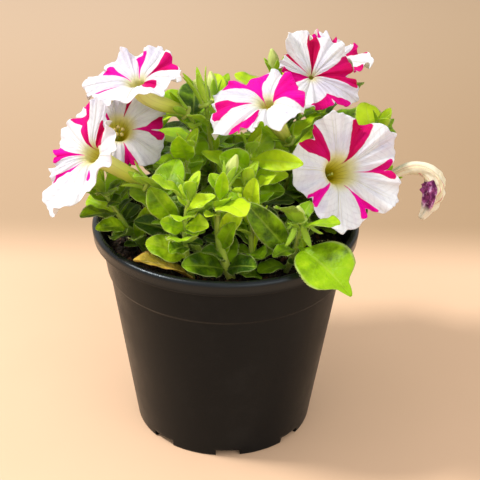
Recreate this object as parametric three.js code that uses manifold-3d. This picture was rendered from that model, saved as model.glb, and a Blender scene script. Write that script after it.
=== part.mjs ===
// Potted petunia: a black nursery pot of soil, leafy shoots, and white blooms striped in magenta.
// Millimetres, +Z up. The origin is the middle of the pot's underside and the front faces -Y.
import * as THREE from 'three';
import { mergeVertices } from 'three/addons/utils/BufferGeometryUtils.js';
import Module from 'manifold-3d';

const wasm = await Module();
wasm.setup();

// Pot: a 13 cm nursery pot with a rolled rim, a band below it and a notched foot
const pot = {
  height: 110.5,
  rimRadius: 65,
  rimDepth: 3.6,
  lipDrop: 7,
  lipFootRadius: 64.4,
  bandTopRadius: 60.8,
  bandDrop: 24.4,
  bandFootRadius: 58.3,
  wallTopRadius: 57.2,
  baseRadius: 44.8,
  wall: 1.8,
  floorLift: 3.8,
  floorThickness: 2.2,
  footWidth: 4.5,
  padRadius: 14,
  notchWidth: 12,
  notchHeight: 3.5,
  notches: 8,
  frontNotchAngle: -86,
  drainRadius: 3.6,
  drainCircle: 27,
  drains: 6,
  sides: 32,
};

// Soil: fills the pot to a little below the rim
const soil = { level: 98, gap: 0.4, roughness: 1.3, sides: 24, rings: 3, stemDepth: 10 };

// Bloom: a narrow tube that opens into a throat and five broad lobes
const bloom = {
  skin: 0.7,
  tubeRadius: 1.9,
  middleRadius: 3.1,
  throatRadius: 6.2,
  throatSlope: 28,
  limbSlope: 80,
  flareLength: 9,
  notchDepth: 0.22,
  tipLength: 0.03,
  columns: 4,
  limbRows: 3,
  tubeRows: 2,
  ruffle: 1.5,
};

// Calyx: a small cup at the end of a stalk with five narrow sepals round the bloom's tube
const calyx = {
  height: 2.2,
  radius: 3.7,
  sepals: 5,
  sepalWidth: 3.6,
  rings: [[0.4, 2.6], [1.4, 3.7], [2.2, 3.3]],
};

// Leaf: an ovate blade on a short stalk, thickest at its midrib
const leaf = { thickness: 1.1, stalkWidth: 1.5, stalk: 0.14, widest: 0.47, fullness: 0.6 };

const stem = { baseRadius: 1.6, tipRadius: 0.9, sides: 5, steps: 3, gap: 0.35 };

// Each bloom: where its throat is, which way it faces, and where its calyx stands.
// Each lobe is [angle of the notch before it, length, slope at its edge], in degrees and
// millimetres, counted anticlockwise from the right as seen from the front.
// A slope of 90 lies flat, more curls back and less cups forward.
const blooms = [
  {
    name: 'bloom_top_left', throat: [-41.8, 4.0, 176.8],
    face: [-0.3, -0.2, 0.93], foot: [-18.9, 12.0, 159.5],
    lobes: [[-20, 18, 118], [35, 17, 60], [100, 17, 58], [160, 23, 98], [215, 17, 82]],
  },
  {
    name: 'bloom_left', throat: [-60.7, -22.0, 152.4],
    face: [-0.5, -0.62, 0.6], foot: [-34.6, -26.0, 139.2],
    lobes: [[-78, 14, 55], [64, 22, 76], [104, 18, 108], [184, 17, 88], [225, 30, 66]],
  },
  {
    name: 'bloom_left_middle', throat: [-52.0, 10.0, 151.4],
    face: [0.16, -0.72, 0.67], foot: [-56.6, 31.0, 131.9],
    lobes: [[-145, 18, 140], [-73, 20, 104], [0, 21, 88], [71, 16, 128], [138, 20, 142]],
  },
  {
    name: 'bloom_centre', throat: [18.5, -8.0, 172.7],
    face: [-0.32, -0.3, 0.9], foot: [29.7, 8.0, 147.7],
    lobes: [[-70, 16, 128], [38, 15, 90], [138, 26, 106], [194, 26, 118], [245, 16, 92]],
  },
  {
    name: 'bloom_top_right', throat: [39.7, 24.0, 174.5],
    face: [0.15, -0.72, 0.66], foot: [35.3, 45.1, 155.1],
    lobes: [[-52, 21, 112], [4, 18, 95], [90, 20, 72], [140, 13, 64], [182, 14, 70]],
  },
  {
    name: 'bloom_back_right', throat: [54.0, 52.0, 173.3],
    face: [0.3, -0.1, 0.95], foot: [45.3, 54.9, 145.8],
    lobes: [[-80, 13, 75], [25, 17, 104], [75, 17, 84], [120, 15, 62], [195, 17, 55]],
  },
  {
    name: 'bloom_right', throat: [52.2, -8.0, 139.8],
    face: [0.36, -0.76, 0.53], foot: [41.7, 14.2, 124.3],
    lobes: [[-138, 26, 80], [-56, 28, 72], [2, 29, 88], [66, 24, 78], [135, 23, 88]],
  },
];

// Each shoot: the three places that its stem passes, in the soil, half way and at its end, how thick
// it is at its foot, what stands at its end, and how many leaves grow round it, with their size.
const shoots = [
  { name: 'shoot_left', stem: [[-6, -28, 98], [-20, -34, 122]], thick: 2.6,
    bears: 'bloom_left', leaves: 7, size: 29 },
  { name: 'shoot_front_left', stem: [[-15, -38, 98], [-18, -39, 121], [-16, -36, 140]],
    bears: 'rosette', toward: [0, 0.1, 1], leaves: 8, size: 30 },
  { name: 'shoot_front', stem: [[3, -37, 98], [-3, -37, 122], [-1, -34, 142]], thick: 2.4,
    bears: 'bud', toward: [0.35, 0.3, 0.9], leaves: 8, size: 28 },
  { name: 'shoot_front_right', stem: [[13, -32, 98], [12, -33, 120], [10, -27, 142]],
    bears: 'rosette', toward: [0, 0.2, 1], leaves: 8, size: 27 },
  { name: 'shoot_right', stem: [[29, -30, 98], [33, -38, 116], [34, -38.5, 128.5]],
    bears: 'seed_head', toward: [-0.12, -0.1, 1], leaves: 7, size: 29 },
  { name: 'shoot_bloom_right', stem: [[30, 0, 98], [39, 10, 112]],
    bears: 'bloom_right', leaves: 9, size: 34 },
  { name: 'shoot_far_right', stem: [[42, 6, 98], [60, 13, 117], [74, 14, 122]],
    bears: 'bloom_wilted', toward: [0.62, 0, 0.78], leaves: 9, size: 31 },
  { name: 'shoot_centre', stem: [[17, 6, 98], [30, 16, 124]],
    bears: 'bloom_centre', leaves: 9, size: 32 },
  { name: 'shoot_top_right', stem: [[24, 26, 98], [34, 50, 127]],
    bears: 'bloom_top_right', leaves: 10, size: 35 },
  { name: 'shoot_back_right', stem: [[38, 24, 98], [50, 48, 122]],
    bears: 'bloom_back_right', leaves: 10, size: 35 },
  { name: 'shoot_left_middle', stem: [[-34, 20, 98], [-53, 38, 117]],
    bears: 'bloom_left_middle', leaves: 9, size: 34 },
  { name: 'shoot_top_left', stem: [[-16, 6, 98], [-11, 18, 130]],
    bears: 'bloom_top_left', leaves: 9, size: 32 },
  { name: 'shoot_spent_bud', stem: [[-3, 14, 98], [-7, 12, 134], [-10, 8, 165]],
    bears: 'spent_bud', toward: [-0.35, 0.1, 0.93], leaves: 9, size: 28 },
  { name: 'shoot_tall_bud', stem: [[8, 26, 98], [19, 32, 132], [24, 35, 168]],
    bears: 'bud', toward: [-0.2, 0.05, 0.97], leaves: 9, size: 32 },
  { name: 'shoot_left_low', stem: [[-37, -16, 98], [-48, -19, 117], [-58, -18, 133]],
    bears: 'rosette', toward: [-0.4, 0, 0.9], leaves: 8, size: 24 },
  { name: 'shoot_left_back', stem: [[-28, 34, 98], [-38, 48, 120], [-38, 52, 142]],
    bears: 'rosette', toward: [-0.2, 0.2, 1], leaves: 11, size: 36 },
  { name: 'shoot_back', stem: [[-6, 40, 98], [-10, 54, 122], [-8, 54, 148]],
    bears: 'bud', toward: [-0.1, 0.5, 0.9], leaves: 11, size: 37 },
  { name: 'shoot_back_centre', stem: [[14, 44, 98], [20, 60, 116], [22, 66, 130]],
    bears: 'rosette', toward: [0.1, 0.5, 0.8], leaves: 11, size: 34 },
  { name: 'shoot_right_back', stem: [[46, 20, 98], [62, 28, 122], [75, 28, 147]],
    bears: 'rosette', toward: [0.15, 0, 1], leaves: 10, size: 31 },
  { name: 'shoot_middle', stem: [[-14, -12, 98], [-17, -12, 126], [-18, -6, 148]],
    bears: 'rosette', toward: [0, 0, 1], leaves: 10, size: 34 },
  { name: 'shoot_inner_right', stem: [[14, -13, 98], [12, -13, 128], [11, -8, 150]],
    bears: 'rosette', toward: [0.1, -0.1, 1], leaves: 10, size: 31 },
];

// Large leaves in plain sight: [shoot, share of the way up its stem, tip, width, droop, way it faces]
const largeLeaves = [
  ['shoot_left', 0.55, [-34, -37, 144], 13, 25, [-0.35, -0.8, 0.55]],
  ['shoot_right', 0.5, [57, -66, 106], 27, 45, [0.1, -0.65, 0.8]],
  ['shoot_right', 0.3, [14, -37, 135], 19, 30, [-0.1, -0.85, 0.55]],
  ['shoot_front_right', 0.5, [5, -39, 147], 14, 20, [-0.45, -0.85, 0.3]],
  ['shoot_front', 0.08, [-19, -53, 113], 14, 25, [0, -0.65, 0.8]],
  ['shoot_front', 0.1, [15, -53, 113], 12, 25, [0, -0.65, 0.8]],
  ['shoot_front_left', 0.22, [-35, -41, 117], 15, 45, [-0.1, -0.6, 0.8]],
  ['shoot_front_left', 0.6, [-7, -46, 129], 10, 45, [0.1, -0.6, 0.85]],
  ['shoot_front_left', 0.35, [-25, -50, 117], 10, 50, [0, -0.5, 1]],
  ['shoot_left', 0.38, [-39, -33, 121], 13, 35, [-0.1, -0.6, 0.8]],
  ['shoot_front', 0.3, [5, -45, 131], 9, 15, [-0.5, -0.8, 0.35]],
  ['shoot_front_right', 0.25, [19, -44, 113], 12, 45, [0.1, -0.6, 0.8]],
  ['shoot_front_right', 0.2, [6, -46, 129], 5, 15, [-0.4, -0.8, 0.4]],
  ['shoot_right', 0.42, [22, -51, 117], 8, 40, [0, -0.5, 1]],
  ['shoot_inner_right', 0.55, [30, -24, 138], 12, 35, [0, -0.8, 0.6]],
  ['shoot_left_low', 0.3, [-50, -34, 115], 12, 30, [-0.5, -0.6, 0.7]],
  ['shoot_left_low', 0.15, [-66, -12, 120], 8, 60, [-0.2, -0.3, 1]],
  ['shoot_left_low', 0.6, [-66, -10, 124], 12, 50, [-0.2, -0.6, 0.8]],
  ['shoot_left_low', 0.1, [-41, -43, 120], 8, 30, [-0.1, -0.6, 0.8]],
  ['shoot_left_low', 0.8, [-48, -28, 131], 9, 35, [0.1, -0.7, 0.7]],
  ['shoot_front_left', 0.8, [-4, -43, 143], 7, 40, [0.1, -0.6, 0.9]],
  ['shoot_left', 0.8, [-17, -33, 135], 6, 20, [0.1, -0.6, 0.8]],
  ['shoot_front', 0.85, [2, -33, 155], 9, 12, [0.1, -1, 0.3]],
  ['shoot_front', 0.75, [-8, -35, 152], 8, 15, [-0.1, -1, 0.3]],
  ['shoot_front', 0.9, [8, -30, 150], 9, 20, [0.2, -0.9, 0.4]],
  ['shoot_middle', 0.9, [-22, -16, 160], 12, 20, [-0.2, -0.9, 0.4]],
  ['shoot_middle', 0.6, [-26, -15, 138], 16, 40, [-0.2, -0.9, 0.4]],
  ['shoot_left_low', 0.2, [-34, -30, 116], 12, 40, [0.1, -0.6, 0.8]],
  ['shoot_left_low', 0.4, [-55, -26, 120], 12, 40, [-0.2, -0.6, 0.8]],
  ['shoot_inner_right', 0.9, [26, -20, 155], 14, 30, [0.1, -0.85, 0.5]],
  ['shoot_inner_right', 0.8, [-3, -19, 152], 14, 35, [-0.1, -0.85, 0.5]],
  ['shoot_inner_right', 0.7, [37, -20, 141], 12, 40, [0.2, -0.8, 0.6]],
  ['shoot_bloom_right', 0.35, [50, -14, 116], 15, 40, [0.2, -0.7, 0.7]],
  ['shoot_right', 0.75, [48, -44, 124], 10, 35, [0.3, -0.8, 0.5]],
  ['shoot_front', 0.15, [-2, -55, 111], 12, 45, [-0.1, -0.5, 0.9]],
  ['shoot_left_low', 0.45, [-35, -27, 126], 11, 40, [0.1, -0.6, 0.8]],
  ['shoot_front', 0.45, [8, -38, 136], 9, 30, [0.2, -0.8, 0.6]],
  ['shoot_front_left', 0.55, [-29, -43, 130], 9, 30, [-0.3, -0.7, 0.7]],
  ['shoot_middle', 0.35, [-5, -22, 128], 14, 35, [0.1, -0.8, 0.6]],
  ['shoot_inner_right', 0.35, [25, -24, 116], 14, 40, [0.1, -0.7, 0.7]],
];

// The yellowed leaf that lies on the soil at the front
const oldLeaf = { foot: [-12, -42, 90], root: [-14, -44, 101], tip: [-41, -50, 113.5], width: 13, droop: 34 };

// The wilted bloom: a limp tube that arches over and hangs down from its calyx
const wilted = {
  line: [[76.2, 14, 123.6], [90, 13, 141], [112, 9, 136], [96, 6, 109]],
  radii: [1.6, 2.1, 2.6, 3, 3.2, 3.3, 3.8, 4.8, 5, 3.4, 1.2],
  crumple: 0.25,
};

// Rosette: short young leaves in a tuft at the end of a shoot
const rosette = { leaves: 4, length: 13.5, width: 6.6, spread: 36 };
const style = { radius: 0.5, reach: 0.8 };

// What stands above the calyx, as [distance past the stem's end, radius] of each ring,
// and the length and spread of the sepals round it
const endings = {
  bloom: { rings: [], length: 12, spread: 24 },
  bud: { rings: [[2.3, 2.1], [8, 2.6], [13, 2.3], [17, 0.6]], length: 12, spread: 16 },
  spent_bud: { rings: [[2.3, 2], [8, 2.4], [14, 1.6]], length: 18, spread: 14 },
  seed_head: { rings: [[2.3, 2.1], [5, 2.7], [8.5, 0.8]], length: 12, spread: 138 },
};

// How sepals and young leaves bend
const young = { droop: 28, cup: 10 };

// How the other leaves grow: their shares of the stem, and the low and high end of each range
const filling = {
  shares: [0.2, 0.95], shareShift: 0.08, turnShift: 0.9, outwards: 0.8, turnStep: 137.5, turnStart: 60,
  riseAtFoot: [-5, 25], riseAtEnd: [15, 55], taper: [1.15, 0.8], lengths: [0.9, 1.1], shrink: 0.02,
  lean: -0.4, widths: [0.52, 0.68], droops: [20, 65], cup: 7, twist: 20, wave: 0.5,
};

// How far a large leaf's tip may move at each try, in millimetres, and how much narrower it gets
const moving = { shift: 1.3, shrink: 0.03 };

// How near a leaf may come to what is there before it, how often it tries another way,
// and how close together the places are that are compared
const room = {
  leaf: 1.8, own: 1.2, bloom: 2, stem: 1.2, soil: 2.4, rim: 1.8, tries: 16, spacing: 1.4,
  outer: 0.22, bloomColumns: 80, bloomTubeRows: 8, bloomLimbRows: 12, stemPlaces: 24,
};

const degrees = Math.PI / 180;
const point = (place) => new THREE.Vector3(...place);
const up = new THREE.Vector3(0, 0, 1);

// The direction that a bloom's angles count as upwards
const eyeUp = new THREE.Vector3(0, 0.47, 0.88);

const mix = (a, b, t) => a + (b - a) * t;
const smooth = (t) => t * t * (3 - 2 * t);

// A seeded draw, so that every run gives the same plant
let seed = 4711;
function draw(low, high) {
  seed = (seed * 16807) % 2147483647;
  return mix(low, high, seed / 2147483647);
}

// Rings of equal size, or single points at the ends, joined into a closed skin.
// crossed(k, i) picks the diagonal, so that the two faces of a thin blade are split alike.
function loft(rings, { loop = false, crossed = (k, i) => i % 2 === 1 } = {}) {
  const corners = [];
  const triangles = [];
  const starts = rings.map((ring) => corners.push(...ring) - ring.length);
  const spans = loop ? rings.length : rings.length - 1;
  for (let k = 0; k < spans; k++) {
    const next = (k + 1) % rings.length;
    const sides = Math.max(rings[k].length, rings[next].length);
    for (let i = 0; i < sides; i++) {
      const j = (i + 1) % sides;
      const [a, b] = rings[k].length === 1 ? [starts[k], starts[k]] : [starts[k] + i, starts[k] + j];
      const tip = rings[next].length === 1;
      const [c, d] = tip ? [starts[next], starts[next]] : [starts[next] + i, starts[next] + j];
      const pair = crossed(k, i) ? [[a, b, c], [b, d, c]] : [[a, b, d], [a, d, c]];
      triangles.push(...pair.filter(([p, q, r]) => p !== q && q !== r && r !== p));
    }
  }
  if (!loop) {
    const last = rings.length - 1;
    for (let i = 2; i < rings[0].length; i++) triangles.push([starts[0], starts[0] + i, starts[0] + i - 1]);
    for (let i = 2; i < rings[last].length; i++) {
      triangles.push([starts[last], starts[last] + i - 1, starts[last] + i]);
    }
  }
  const geometry = new THREE.BufferGeometry();
  geometry.setAttribute('position', new THREE.Float32BufferAttribute(corners.flatMap((p) => p.toArray()), 3));
  geometry.setIndex(triangles.flat());
  return geometry;
}

// A closed geometry as a solid whose faces point out
function solid(geometry) {
  geometry.deleteAttribute('normal');
  geometry.deleteAttribute('uv');
  const merged = mergeVertices(geometry, 1e-4);
  const vertProperties = new Float32Array(merged.getAttribute('position').array);
  const triVerts = new Uint32Array(merged.getIndex().array.length);
  let kept = 0;
  const index = merged.getIndex().array;
  for (let t = 0; t < index.length; t += 3) {
    const [a, b, c] = [index[t], index[t + 1], index[t + 2]];
    if (a !== b && b !== c && c !== a) {
      triVerts.set([a, b, c], kept);
      kept += 3;
    }
  }
  const trimmed = triVerts.slice(0, kept);
  if (signedVolume(vertProperties, trimmed) < 0) trimmed.reverse();
  return new wasm.Manifold(new wasm.Mesh({ numProp: 3, vertProperties, triVerts: trimmed }));
}

function signedVolume(places, index) {
  const corner = (i) => new THREE.Vector3(places[3 * i], places[3 * i + 1], places[3 * i + 2]);
  let volume = 0;
  for (let t = 0; t < index.length; t += 3) {
    volume += corner(index[t]).dot(corner(index[t + 1]).cross(corner(index[t + 2])));
  }
  return volume;
}

function geometryOf(body) {
  const { vertProperties, triVerts } = body.getMesh();
  const geometry = new THREE.BufferGeometry();
  geometry.setAttribute('position', new THREE.BufferAttribute(vertProperties, 3));
  geometry.setIndex(new THREE.BufferAttribute(triVerts, 1));
  return geometry;
}

// A profile of [radius, height] points turned round the upright axis
function turned(profile, sides) {
  const geometry = new THREE.LatheGeometry(profile.map(([r, z]) => new THREE.Vector2(r, z)), sides);
  return geometry.rotateX(Math.PI / 2);
}

function potSolid() {
  const top = pot.height;
  const floorTop = pot.floorLift + pot.floorThickness;
  const slope = (pot.wallTopRadius - pot.baseRadius) / (top - pot.bandDrop);
  const innerFloor = pot.baseRadius + slope * floorTop - pot.wall;
  const footInner = pot.baseRadius - pot.footWidth;
  const profile = [
    [0, 0], [pot.padRadius, 0], [pot.padRadius + 1.5, pot.floorLift], [footInner - 1, pot.floorLift],
    [footInner, 0], [pot.baseRadius - 0.8, 0], [pot.baseRadius, 0.9],
    [pot.wallTopRadius, top - pot.bandDrop - 1], [pot.bandFootRadius, top - pot.bandDrop],
    [pot.bandTopRadius, top - pot.lipDrop - 0.5], [pot.lipFootRadius, top - pot.lipDrop],
    [pot.rimRadius, top - 1.9], [pot.rimRadius - 0.5, top - 0.6], [pot.rimRadius - 1.6, top],
    [pot.rimRadius - pot.rimDepth + 0.8, top], [pot.rimRadius - pot.rimDepth, top - 1],
    [pot.bandTopRadius - pot.wall, top - pot.lipDrop],
    [pot.wallTopRadius - pot.wall, top - pot.bandDrop - 1], [innerFloor, floorTop], [0, floorTop],
  ];
  let body = solid(turned(profile, pot.sides));
  for (let i = 0; i < pot.notches; i++) {
    const notch = new THREE.BoxGeometry(4 * pot.footWidth, pot.notchWidth, 2 * pot.notchHeight);
    notch.translate(pot.baseRadius, 0, 0);
    notch.rotateZ((pot.frontNotchAngle + (360 * i) / pot.notches) * degrees);
    body = body.subtract(solid(notch));
  }
  for (let i = 0; i < pot.drains; i++) {
    const drain = new THREE.CylinderGeometry(pot.drainRadius, pot.drainRadius, 4 * pot.floorThickness, 6);
    drain.rotateX(Math.PI / 2).translate(pot.drainCircle, 0, pot.floorLift);
    drain.rotateZ((360 * degrees * i) / pot.drains);
    body = body.subtract(solid(drain));
  }
  return body;
}

const potInnerRadius = (z) => {
  const floorTop = pot.floorLift + pot.floorThickness;
  const shoulder = pot.height - pot.bandDrop - 1;
  const slope = (pot.wallTopRadius - pot.baseRadius) / (pot.height - pot.bandDrop);
  const low = pot.baseRadius + slope * floorTop - pot.wall;
  if (z < shoulder) return mix(low, pot.wallTopRadius - pot.wall, (z - floorTop) / (shoulder - floorTop));
  const rise = (z - shoulder) / (pot.bandDrop + 1 - pot.lipDrop);
  return mix(pot.wallTopRadius, pot.bandTopRadius, rise) - pot.wall;
};

function soilHeight(x, y) {
  const broad = Math.sin(0.21 * x + 1.1) * Math.cos(0.27 * y);
  const small = 0.6 * Math.sin(0.5 * x - 0.4 * y);
  return soil.level + soil.roughness * (broad + small);
}

function soilSolid(stems) {
  const bottom = pot.floorLift + pot.floorThickness + soil.gap;
  const shoulder = pot.height - pot.bandDrop - 1;
  const edge = potInnerRadius(soil.level) - soil.gap;
  const profile = [[0, bottom]];
  for (const z of [bottom, shoulder]) profile.push([potInnerRadius(z) - soil.gap, z]);
  for (let k = 0; k <= soil.rings; k++) profile.push([edge * (1 - k / soil.rings), soil.level]);
  const geometry = turned(profile, soil.sides);
  const places = geometry.getAttribute('position');
  for (let i = 0; i < places.count; i++) {
    const [x, y] = [places.getX(i), places.getY(i)];
    if (places.getZ(i) > soil.level - 0.01 && Math.hypot(x, y) < edge - 1) places.setZ(i, soilHeight(x, y));
  }
  let body = solid(geometry);
  for (const hole of stems) body = body.subtract(hole);
  return body;
}

// A bloom's own directions: right, upwards and out of its face
function bloomFrame({ face }) {
  const out = point(face).normalize();
  const right = eyeUp.clone().cross(out).normalize();
  return { out, right, high: out.clone().cross(right) };
}

// The lobe at a column, with -1 to 1 from one notch to the next, and its two neighbours' share
function lobeAt(lobes, column) {
  const count = lobes.length;
  const index = Math.floor(column / bloom.columns) % count;
  const across = (2 * (column % bloom.columns)) / bloom.columns - 1;
  const start = lobes[index][0];
  const finish = lobes[(index + 1) % count][0] + (index + 1 === count ? 360 : 0);
  const angle = mix(start, finish, (across + 1) / 2) * degrees;
  const neighbour = lobes[(index + (across < 0 ? count - 1 : 1)) % count];
  const share = 0.5 * Math.abs(across) ** 2.5;
  const length = mix(lobes[index][1], neighbour[1], share);
  const slope = mix(lobes[index][2], neighbour[2], share);
  return { angle, across, length, slope };
}

// The surface of a bloom at a column round it and a row from its tube to its edge
function bloomRow(flower, columnCount, tubeRows, limbRows) {
  const { out, right, high } = bloomFrame(flower);
  const throat = point(flower.throat);
  const foot = point(flower.foot);
  const reach = throat.distanceTo(foot);
  const tube = tubeLine(flower);
  const rows = [];
  for (let j = 0; j < tubeRows; j++) {
    const t = mix((calyx.height + soil.gap) / reach, 1, j / tubeRows);
    const centre = tube.getPoint(t);
    const forward = tube.getTangent(t);
    const across = high.clone().cross(forward).normalize();
    const above = forward.clone().cross(across);
    const radius = t < 0.6 ? mix(bloom.tubeRadius, bloom.middleRadius, smooth(t / 0.6))
      : mix(bloom.middleRadius, bloom.throatRadius, ((t - 0.6) / 0.4) ** 1.4);
    rows.push([...Array(columnCount).keys()].map((i) => {
      const { angle } = lobeAt(flower.lobes, (i * 5 * bloom.columns) / columnCount);
      return centre.clone().addScaledVector(across, radius * Math.cos(angle))
        .addScaledVector(above, radius * Math.sin(angle));
    }));
  }
  const step = (5 * bloom.columns) / columnCount;
  const limb = [...Array(columnCount).keys()].map((i) => limbLine(flower, i * step));
  for (let j = 0; j <= limbRows; j++) {
    rows.push(limb.map((line) => {
      const [radius, height, angle] = line(j / limbRows);
      return throat.clone().addScaledVector(right, radius * Math.cos(angle))
        .addScaledVector(high, radius * Math.sin(angle)).addScaledVector(out, height);
    }));
  }
  return rows;
}

// The middle line of a bloom's tube, from its calyx to its throat
function tubeLine(flower) {
  const throat = point(flower.throat);
  const foot = point(flower.foot);
  const back = bloomFrame(flower).out.multiplyScalar(-0.4 * throat.distanceTo(foot));
  return new THREE.CubicBezierCurve3(foot, foot.clone().lerp(throat, 0.4), throat.clone().add(back), throat);
}

// From the throat to the edge along one column: distance from the axis, height and angle
function limbLine(flower, column) {
  const { angle, across, length, slope } = lobeAt(flower.lobes, column);
  const notch = bloom.notchDepth * Math.abs(across) ** 3;
  const tip = bloom.tipLength * Math.exp(-((across / 0.15) ** 2));
  const reach = length * (1 - notch + tip);
  const phase = flower.throat[0];
  const wave = bloom.ruffle * (Math.sin(8 * angle + phase) + 0.6 * Math.sin(13 * angle + 2 * phase));
  return (share) => {
    const steps = 24;
    let radius = bloom.throatRadius;
    let height = 0;
    for (let k = 0; k < Math.round(share * steps); k++) {
      const along = ((k + 0.5) / steps) * reach;
      const opening = smooth(Math.min(1, along / bloom.flareLength));
      const tilt = mix(mix(bloom.throatSlope, bloom.limbSlope, opening), slope, smooth((k + 0.5) / steps));
      radius += (Math.sin(tilt * degrees) * reach) / steps;
      height += (Math.cos(tilt * degrees) * reach) / steps;
    }
    const pleat = -1.4 * across ** 2 * share;
    return [radius, height + wave * share ** 2 + pleat, angle];
  };
}

// The rows moved back by the petal's thickness
function backOf(rows) {
  const last = rows.length - 1;
  const count = rows[0].length;
  return rows.map((row, j) => row.map((place, i) => {
    const around = row[(i + 1) % count].clone().sub(row[(i + count - 1) % count]);
    const along = rows[Math.min(j + 1, last)][i].clone().sub(rows[Math.max(j - 1, 0)][i]);
    return place.clone().addScaledVector(along.cross(around).normalize(), bloom.skin);
  }));
}

function corollaSolid(flower) {
  const count = 5 * bloom.columns;
  const rows = bloomRow(flower, count, bloom.tubeRows, bloom.limbRows);
  const rings = [...rows, ...backOf(rows).reverse()];
  const crossed = (k, i) => (k < rows.length - 1) === (i % 2 === 1);
  return solid(loft(rings, { loop: true, crossed }));
}

// A stem is an arc from the soil through its middle to its end
function arc([start, middle, finish]) {
  const control = point(middle).multiplyScalar(2).sub(point(start).add(point(finish)).multiplyScalar(0.5));
  return new THREE.QuadraticBezierCurve3(point(start), control, point(finish));
}

// Rings round a line of places, each with its own radius
function rod(places, radii, sides) {
  const last = places.length - 1;
  return loft(places.map((place, k) => {
    const ahead = places[Math.min(k + 1, last)].clone().sub(places[Math.max(k - 1, 0)]).normalize();
    const across = new THREE.Vector3(0.9, 0.1, 0.3).cross(ahead).normalize();
    const above = ahead.clone().cross(across);
    return [...Array(sides).keys()].map((i) => {
      const angle = (2 * Math.PI * i) / sides;
      return place.clone().addScaledVector(across, radii[k] * Math.cos(angle))
        .addScaledVector(above, radii[k] * Math.sin(angle));
    });
  }));
}

// A blade from its root to its tip: the place at a share u along it and v from edge to edge
function blade({
  root, tip, face, width, droop = 30, cup = 16, twist = 0, wave = 0.8, phase = 0, stalk = leaf.stalk,
}) {
  const chord = tip.clone().sub(root);
  const size = chord.length();
  chord.normalize();
  const side = chord.clone().cross(face).normalize();
  const above = side.clone().cross(chord);
  const bend = Math.max(droop, 1) * degrees;
  const length = (size * bend) / 2 / Math.sin(bend / 2);
  const start = chord.clone().multiplyScalar(Math.cos(bend / 2)).addScaledVector(above, Math.sin(bend / 2));
  const lift = above.clone().multiplyScalar(Math.cos(bend / 2)).addScaledVector(chord, -Math.sin(bend / 2));
  const power = Math.log(0.5) / Math.log(leaf.widest);
  const at = (u, v) => {
    const turn = bend * u;
    const place = root.clone().addScaledVector(start, (length * Math.sin(turn)) / bend)
      .addScaledVector(lift, (-length * (1 - Math.cos(turn))) / bend);
    const flat = lift.clone().multiplyScalar(Math.cos(turn)).addScaledVector(start, Math.sin(turn));
    const roll = twist * degrees * u;
    const across = side.clone().multiplyScalar(Math.cos(roll)).addScaledVector(flat, Math.sin(roll));
    const normal = flat.clone().multiplyScalar(Math.cos(roll)).addScaledVector(side, -Math.sin(roll));
    const grown = Math.max(0, (u - stalk) / (1 - stalk));
    const outline = Math.sin(Math.PI * Math.min(1, grown) ** power) ** leaf.fullness;
    const half = Math.max((leaf.stalkWidth / 2) * (1 - grown), (width / 2) * outline);
    const ripple = wave * (half / width) * Math.sin(15 * u + phase + 1.3 * Math.sign(v)) * Math.abs(v);
    place.addScaledVector(across, v * half * Math.cos(cup * degrees));
    place.addScaledVector(normal, Math.abs(v) * half * Math.sin(cup * degrees) + ripple);
    return { place, normal };
  };
  return { at, length, width };
}

// A blade's skin is thick at its midrib and sharp at its edges. A folded one has its midrib
// in a groove, a plain one has it on the underside only, and a pointed one starts at a point.
function bladeLoft({ at }, { stations, folded = false, pointed = false }) {
  return loft(stations.map((u) => {
    const { place, normal } = at(u, 0);
    if (u === 1 || (u === 0 && pointed)) return [place];
    const half = (leaf.thickness / 2) * (1 - 0.25 * u);
    const under = place.clone().addScaledVector(normal, -half);
    const over = place.clone().addScaledVector(normal, half);
    const [left, right] = [at(u, -1).place, at(u, 1).place];
    return folded ? [left, over, right, under] : [left, right, under];
  }));
}

const largeKind = { stations: [0, 0.2, 0.5, 0.8, 1], folded: true };
const plainKind = { stations: [0, 0.26, 0.66, 1] };
const narrowKind = { stations: [0, 0.45, 1], pointed: true };

// Places spread over a blade, for keeping leaves clear of each other
function bladePlaces({ at, length, width }) {
  const rows = Math.ceil(length / room.spacing);
  const columns = Math.ceil(width / (2 * room.spacing));
  const places = [];
  for (let j = 1; j <= rows; j++) {
    for (let i = -columns; i <= columns; i++) {
      places.push({ ...at(j / rows, i / columns).place, outer: j / rows > room.outer });
    }
  }
  return places;
}

const placed = [];
function hold(owner, places, radius) {
  for (const { x, y, z, outer } of places) placed.push([x, y, z, radius, owner, outer]);
}

function clearOf(places, owner) {
  const widest = Math.max(...placed.map(([, , , radius]) => radius));
  const low = ['x', 'y', 'z'].map((axis) => Math.min(...places.map((place) => place[axis])) - widest);
  const high = ['x', 'y', 'z'].map((axis) => Math.max(...places.map((place) => place[axis])) + widest);
  const within = (one) => low.every((limit, axis) => one[axis] > limit && one[axis] < high[axis]);
  const near = placed.filter(within);
  const inside = potInnerRadius(pot.height - pot.lipDrop) - room.rim;
  for (const { x, y, z, outer } of places) {
    const reach = Math.hypot(x, y);
    if (reach < inside && z < soil.level + room.soil) return false;
    if (reach >= inside && reach < pot.rimRadius + room.rim && z < pot.height + room.rim) return false;
    for (const [px, py, pz, radius, other, free] of near) {
      if (other === owner && !(outer && free)) continue;
      const apart = other === owner ? room.own : radius;
      if ((x - px) ** 2 + (y - py) ** 2 + (z - pz) ** 2 < apart ** 2) return false;
    }
  }
  return true;
}

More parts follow.
